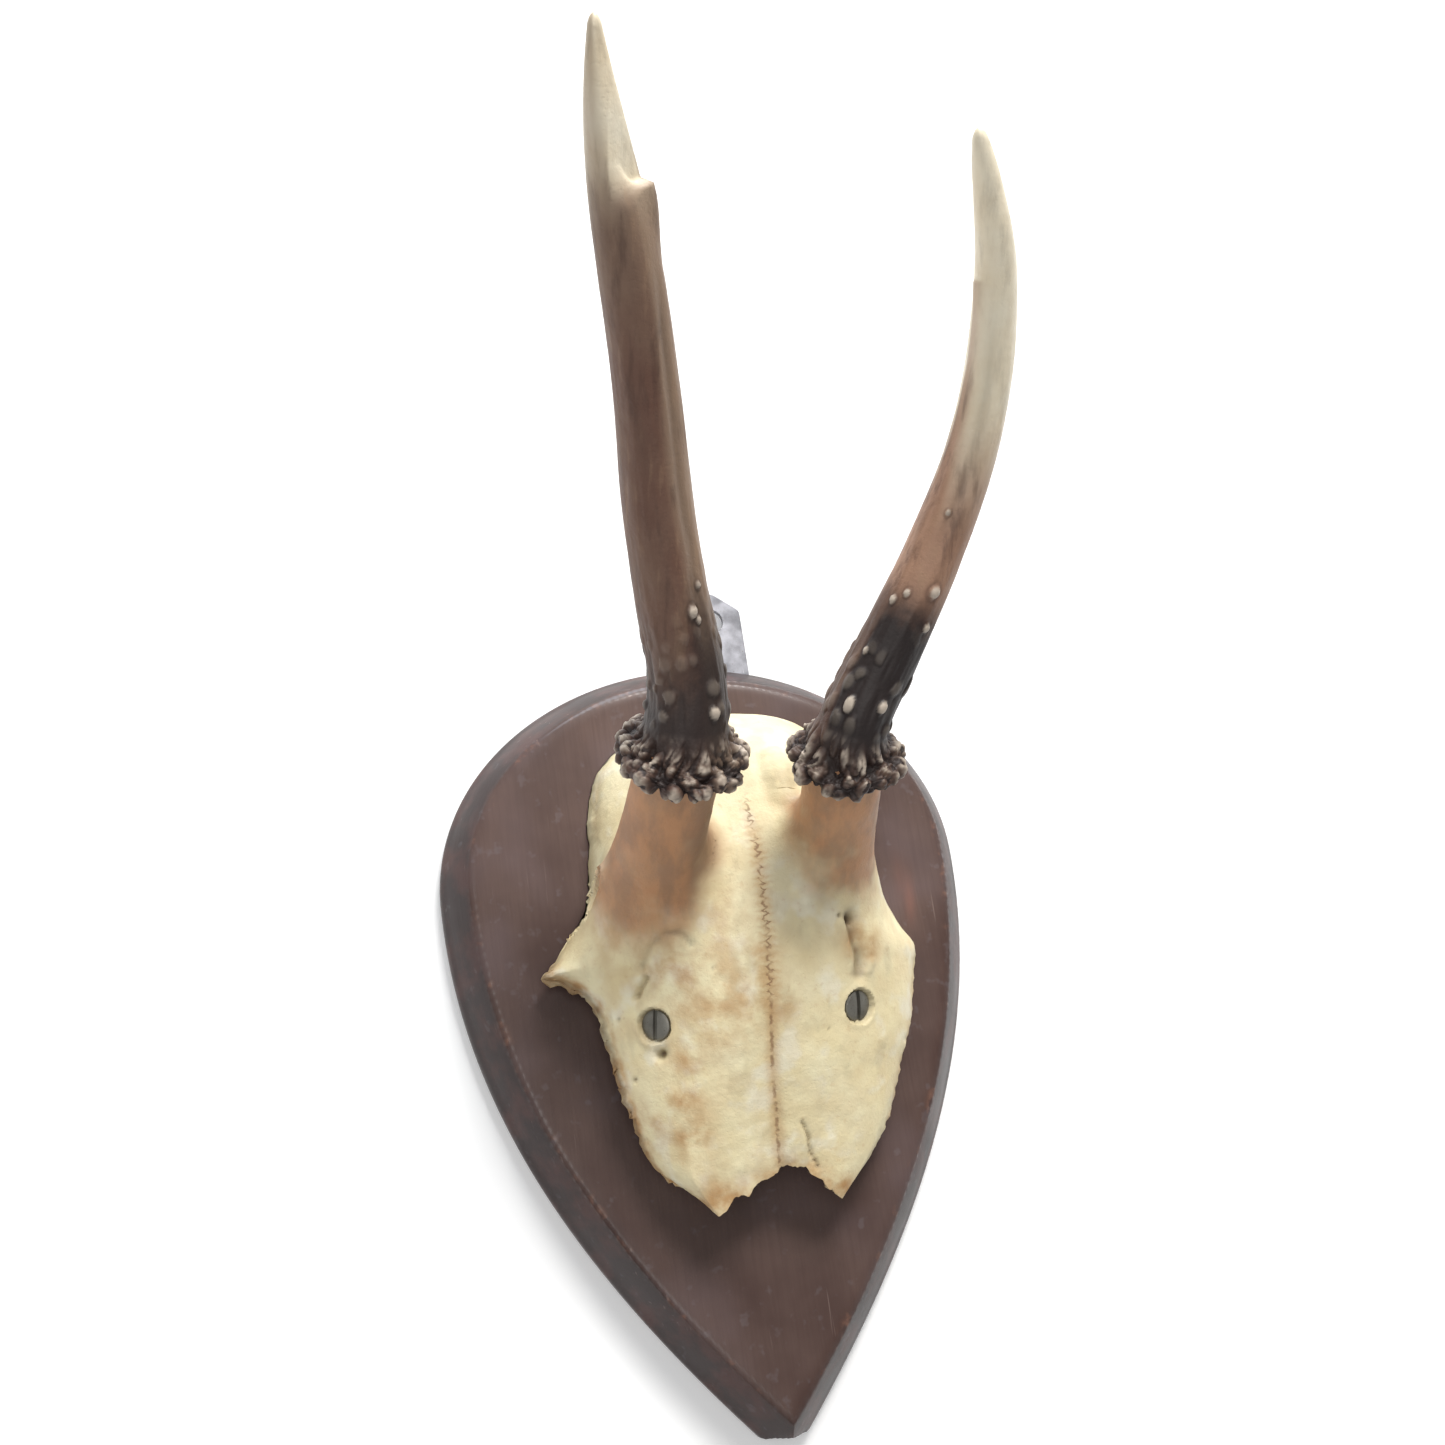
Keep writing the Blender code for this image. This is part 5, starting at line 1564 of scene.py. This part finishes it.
def make_skull_screw(side, settings, steel):
    """A slotted oval head on a plain shank, with the slot cut by a turned box, leaned into its seat."""
    low, high = cad_box(f"skull_screw_{side}")
    seat, facing = screw_seat(side)
    centre = skull_to_world(seat)
    profile = dome_profile(high[1] - low[1] - 3.5)
    screw = turned_piece(f"slotted_screw_{side}", profile, (0.0, 0.0, 0.0), steel)
    half = settings.slot / MM / 2
    carve(screw, [box_cutter("slot", (-half, -HEAD_DOME - 1.0, -6.0), (half, SLOT_DEPTH, 6.0), SLOT_TURN[side])])
    outward = skull_to_world(seat + facing) - centre
    lean = Vector((0.0, -1.0, 0.0)).rotation_difference(Vector(outward.tolist()))
    screw.data.transform(Matrix.Translation((centre * MM).tolist()) @ lean.to_matrix().to_4x4())
    return settle_in(screw, "root", "screw", f"skull_screw_{side}")


def make_strip(zinc):
    """The hanging strip: an outline with clipped corners, each corner rounded by a small arc, carried through its
    thickness with softened edges, and drilled."""
    low, high = cad_box("hanger")
    middle_x, half = (low[0] + high[0]) / 2, (high[0] - low[0]) / 2
    narrow, shoulder = half - STRIP_CLIP * STRIP_CLIP_SLOPE, high[2] - STRIP_CLIP
    right = [(half, low[2]), (half, shoulder), (narrow, high[2])]
    corners = np.array(right + [(-x, z) for x, z in reversed(right)])
    before, after = unit(np.roll(corners, 1, 0) - corners), unit(np.roll(corners, -1, 0) - corners)
    t = np.linspace(0.0, 1.0, 7)[None, :, None]
    start, end = corners + STRIP_CORNER_ROUNDING * before, corners + STRIP_CORNER_ROUNDING * after
    arcs = (1 - t) ** 2 * start[:, None] + 2 * (1 - t) * t * corners[:, None] + t**2 * end[:, None]
    outline = arcs.reshape(-1, 2)
    centre = outline.mean(0)
    soft = STRIP_SOFT_EDGE
    rings = []
    for y, inset in ((low[1], soft), (low[1] + soft, 0.0), (high[1] - soft, 0.0), (high[1], soft)):
        scale = 1.0 - inset / np.abs(outline - centre).max(0)
        points = centre + (outline - centre) * scale
        rings.append(np.stack([middle_x + points[:, 0], np.full(len(points), y), points[:, 1]], -1))
    strip = build_piece("hanging_strip", [closed_tube(np.array(rings), {})], zinc, 30.0)
    holes = [("nail", NAIL_HOLE_RADIUS, high[2] - NAIL_HOLE_BELOW_TOP, 64)]
    for name in STRIP_SCREWS:
        screw_low, screw_high = cad_box(name)
        holes.append((name, STRIP_SCREW_HOLE_RADIUS, (screw_low[2] + screw_high[2]) / 2, 32))
    drills = [
        turned_piece(f"{name}_drill", ((-9.0, radius), (4.0, radius)), (middle_x, 0.0, z), None, sides)
        for name, radius, z, sides in holes
    ]
    carve(strip, drills)
    return settle_in(strip, "root", "strip", "hanger")


def make_strip_screw(name, steel):
    """A flat slotted head with a softened rim on a thin shank, its head on the wall side of the strip."""
    low, high = cad_box(name)
    middle = (low + high) / 2
    radius = (high[0] - low[0]) / 2
    head_front, head_back, shank = high[1] - 0.9, high[1], 1.3
    profile = (
        (head_back, 0.05),
        (head_back, 0.74 * radius),
        (head_back - 0.08, 0.84 * radius),
        (head_back - 0.3, 0.93 * radius),
        (head_front, radius),
        (head_front, shank),
        (low[1] + 2.0, shank),
        (low[1], 0.2),
    )
    screw = turned_piece(f"{name}_turned", profile, (middle[0], 0.0, middle[2]), steel, 48)
    slot_low = (middle[0] - 0.4, high[1] - 0.5, middle[2] - 5.0)
    slot_high = (middle[0] + 0.4, high[1] + 1.0, middle[2] + 5.0)
    carve(screw, [box_cutter("strip_slot", slot_low, slot_high, 0.4)])
    return settle_in(screw, "root", "screw", name)


# Wall, lights and camera


def wall_material(colour):
    """A matt pale wall that can't be seen from behind."""
    made = bpy.data.materials.new("Pale wall")
    made.use_nodes = True
    tree = made.node_tree
    shader = tree.nodes["Principled BSDF"]
    shader.inputs["Base Color"].default_value = opaque(colour)
    shader.inputs["Roughness"].default_value = 0.95
    shader.inputs["Specular IOR Level"].default_value = 0.0
    shader.inputs["Emission Color"].default_value = (1.0, 1.0, 1.0, 1.0)
    shader.inputs["Emission Strength"].default_value = WALL_GLOW
    clear = tree.nodes.new("ShaderNodeBsdfTransparent").outputs["BSDF"]
    facing = tree.nodes.new("ShaderNodeNewGeometry").outputs["Backfacing"]
    mixed = add_node(tree, "ShaderNodeMixShader", {0: facing, 1: shader.outputs["BSDF"], 2: clear})
    tree.links.new(mixed.outputs[0], tree.nodes["Material Output"].inputs["Surface"])
    return made


def add_area_light(name, place, width, height, power, colour):
    """A rectangular light that looks at the shield and isn't seen itself."""
    light = bpy.data.lights.new(name, "AREA")
    light.shape = "RECTANGLE"
    light.size, light.size_y = width, height
    light.energy, light.color = power, colour
    obj = bpy.data.objects.new(name, light)
    obj.location = place
    obj.rotation_euler = (Vector(LIGHT_TARGET) - Vector(place)).to_track_quat("-Z", "Y").to_euler()
    obj.visible_camera = False
    bpy.context.scene.collection.objects.link(obj)


def add_camera(settings):
    """The camera looks up at the plaque from the lower left, a little rolled, as the photograph does."""
    azimuth, elevation, roll = CAMERA_AZIMUTH, CAMERA_ELEVATION, CAMERA_ROLL
    back = Vector((sin(azimuth) * cos(elevation), -cos(azimuth) * cos(elevation), sin(elevation)))
    right = (-back).cross(Vector((0.0, 0.0, 1.0))).normalized()
    up = back.cross(right)
    rolled_right = cos(roll) * right + sin(roll) * up
    rolled_up = cos(roll) * up - sin(roll) * right
    data = bpy.data.cameras.new("Camera")
    data.lens = settings.lens
    data.sensor_width = 36.0
    data.clip_start = 0.01
    camera = bpy.data.objects.new("Camera", data)
    turn = Matrix((rolled_right, rolled_up, back)).transposed().to_4x4()
    camera.matrix_world = Matrix.Translation(Vector(CAMERA_TARGET) * MM + back * settings.distance) @ turn
    bpy.context.scene.collection.objects.link(camera)
    bpy.context.scene.camera = camera


def make_stage(settings):
    """A pale wall close behind the back, soft light from the upper right and above, and an even pale sky."""
    half, y = WALL_HALF_SIZE, settings.wall_gap / MM
    corners = np.array([(-half, y, -half), (half, y, -half), (half, y, half), (-half, y, half)])
    wall = bpy.data.meshes.new("wall")
    wall.from_pydata((corners * MM).tolist(), [], [(0, 1, 2, 3)])
    wall.materials.append(wall_material(settings.wall))
    obj = bpy.data.objects.new("wall", wall)
    bpy.context.scene.collection.objects.link(obj)
    for light in LIGHTS:
        add_area_light(*light)
    world = bpy.data.worlds.new("Pale room")
    world.use_nodes = True
    background = world.node_tree.nodes["Background"]
    background.inputs["Color"].default_value = (0.93, 0.96, 1.0, 1.0)
    background.inputs["Strength"].default_value = SKY_STRENGTH
    bpy.context.scene.world = world
    bpy.context.scene.view_settings.view_transform = "Standard"
    add_camera(settings)


# Operators, panel and registration


class PLAQUE_OT_board(bpy.types.Operator):
    """Build the stained shield in place of the plain board"""

    bl_idname = "plaque.board"
    bl_label = "Shield"

    def execute(self, context):
        make_board(context.scene.plaque_board)
        return {"FINISHED"}


class PLAQUE_OT_skull_cap(bpy.types.Operator):
    """Build the skull cap with its pedicles and brow spur"""

    bl_idname = "plaque.skull_cap"
    bl_label = "Skull cap"

    def execute(self, context):
        cap = make_skull_cap(context.scene.plaque_bone)
        settle_in(cap, "root", "bone", "skull_with_antlers")
        return {"FINISHED"}


class PLAQUE_OT_antlers(bpy.types.Operator):
    """Build both antlers with their coronets"""

    bl_idname = "plaque.antlers"
    bl_label = "Antlers"

    def execute(self, context):
        settings = context.scene.plaque_antlers
        material = antler_material(settings)
        for side in SIDES:
            rings, masks = make_antler(side, settings)
            antler = build_piece(f"antler_{side}", [closed_tube(rings, masks)], material)
            settle_in(antler, "root", "bone", "skull_with_antlers")
        return {"FINISHED"}


class PLAQUE_OT_skull_screws(bpy.types.Operator):
    """Build the two slotted screws through the bone"""

    bl_idname = "plaque.skull_screws"
    bl_label = "Skull screws"

    def execute(self, context):
        settings = context.scene.plaque_metal
        steel = metal_material("Dull steel", settings.steel, 0.42, 0.62)
        for side in SIDES:
            make_skull_screw(side, settings, steel)
        return {"FINISHED"}


class PLAQUE_OT_hanger(bpy.types.Operator):
    """Build the hanging strip and its two screws"""

    bl_idname = "plaque.hanger"
    bl_label = "Hanging strip"

    def execute(self, context):
        settings = context.scene.plaque_metal
        make_strip(metal_material("Zinc plate", settings.zinc, 0.45, 0.6))
        steel = bpy.data.materials.get("Dull steel") or metal_material("Dull steel", settings.steel, 0.42, 0.62)
        for name in STRIP_SCREWS:
            make_strip_screw(name, steel)
        return {"FINISHED"}


class PLAQUE_OT_stage(bpy.types.Operator):
    """Set up the wall, the lights and the camera"""

    bl_idname = "plaque.stage"
    bl_label = "Stage"

    def execute(self, context):
        make_stage(context.scene.plaque_stage)
        return {"FINISHED"}


class PLAQUE_PT_panel(bpy.types.Panel):
    """Sizes, colours and build buttons for the plaque"""

    bl_idname = "PLAQUE_PT_panel"
    bl_label = "Antler plaque"
    bl_space_type = "VIEW_3D"
    bl_region_type = "UI"
    bl_category = "Plaque"

    def draw(self, context):
        for key, operators in PANEL_ROWS:
            box = self.layout.box()
            settings = getattr(context.scene, key)
            for name in settings.bl_rna.properties.keys():
                if name not in ("rna_type", "name"):
                    box.prop(settings, name)
            for operator in operators:
                box.operator(operator)


PANEL_ROWS = (
    ("plaque_board", ("plaque.board",)),
    ("plaque_bone", ("plaque.skull_cap",)),
    ("plaque_antlers", ("plaque.antlers",)),
    ("plaque_metal", ("plaque.skull_screws", "plaque.hanger")),
    ("plaque_stage", ("plaque.stage",)),
)
GROUPS = {
    "plaque_board": BoardSettings,
    "plaque_bone": BoneSettings,
    "plaque_antlers": AntlerSettings,
    "plaque_metal": MetalSettings,
    "plaque_stage": StageSettings,
}
OPERATORS = (
    PLAQUE_OT_board,
    PLAQUE_OT_skull_cap,
    PLAQUE_OT_antlers,
    PLAQUE_OT_skull_screws,
    PLAQUE_OT_hanger,
    PLAQUE_OT_stage,
)


def register():
    for group in GROUPS.values():
        bpy.utils.register_class(group)
    for key, group in GROUPS.items():
        setattr(bpy.types.Scene, key, PointerProperty(type=group))
    for operator in OPERATORS:
        bpy.utils.register_class(operator)
    bpy.utils.register_class(PLAQUE_PT_panel)


def unregister():
    bpy.utils.unregister_class(PLAQUE_PT_panel)
    for operator in reversed(OPERATORS):
        bpy.utils.unregister_class(operator)
    for key in GROUPS:
        delattr(bpy.types.Scene, key)
    for group in reversed(GROUPS.values()):
        bpy.utils.unregister_class(group)


def main():
    register()
    bpy.ops.plaque.board()
    bpy.ops.plaque.skull_cap()
    bpy.ops.plaque.antlers()
    bpy.ops.plaque.skull_screws()
    bpy.ops.plaque.hanger()
    bpy.ops.plaque.stage()


if __name__ == "__main__":
    main()
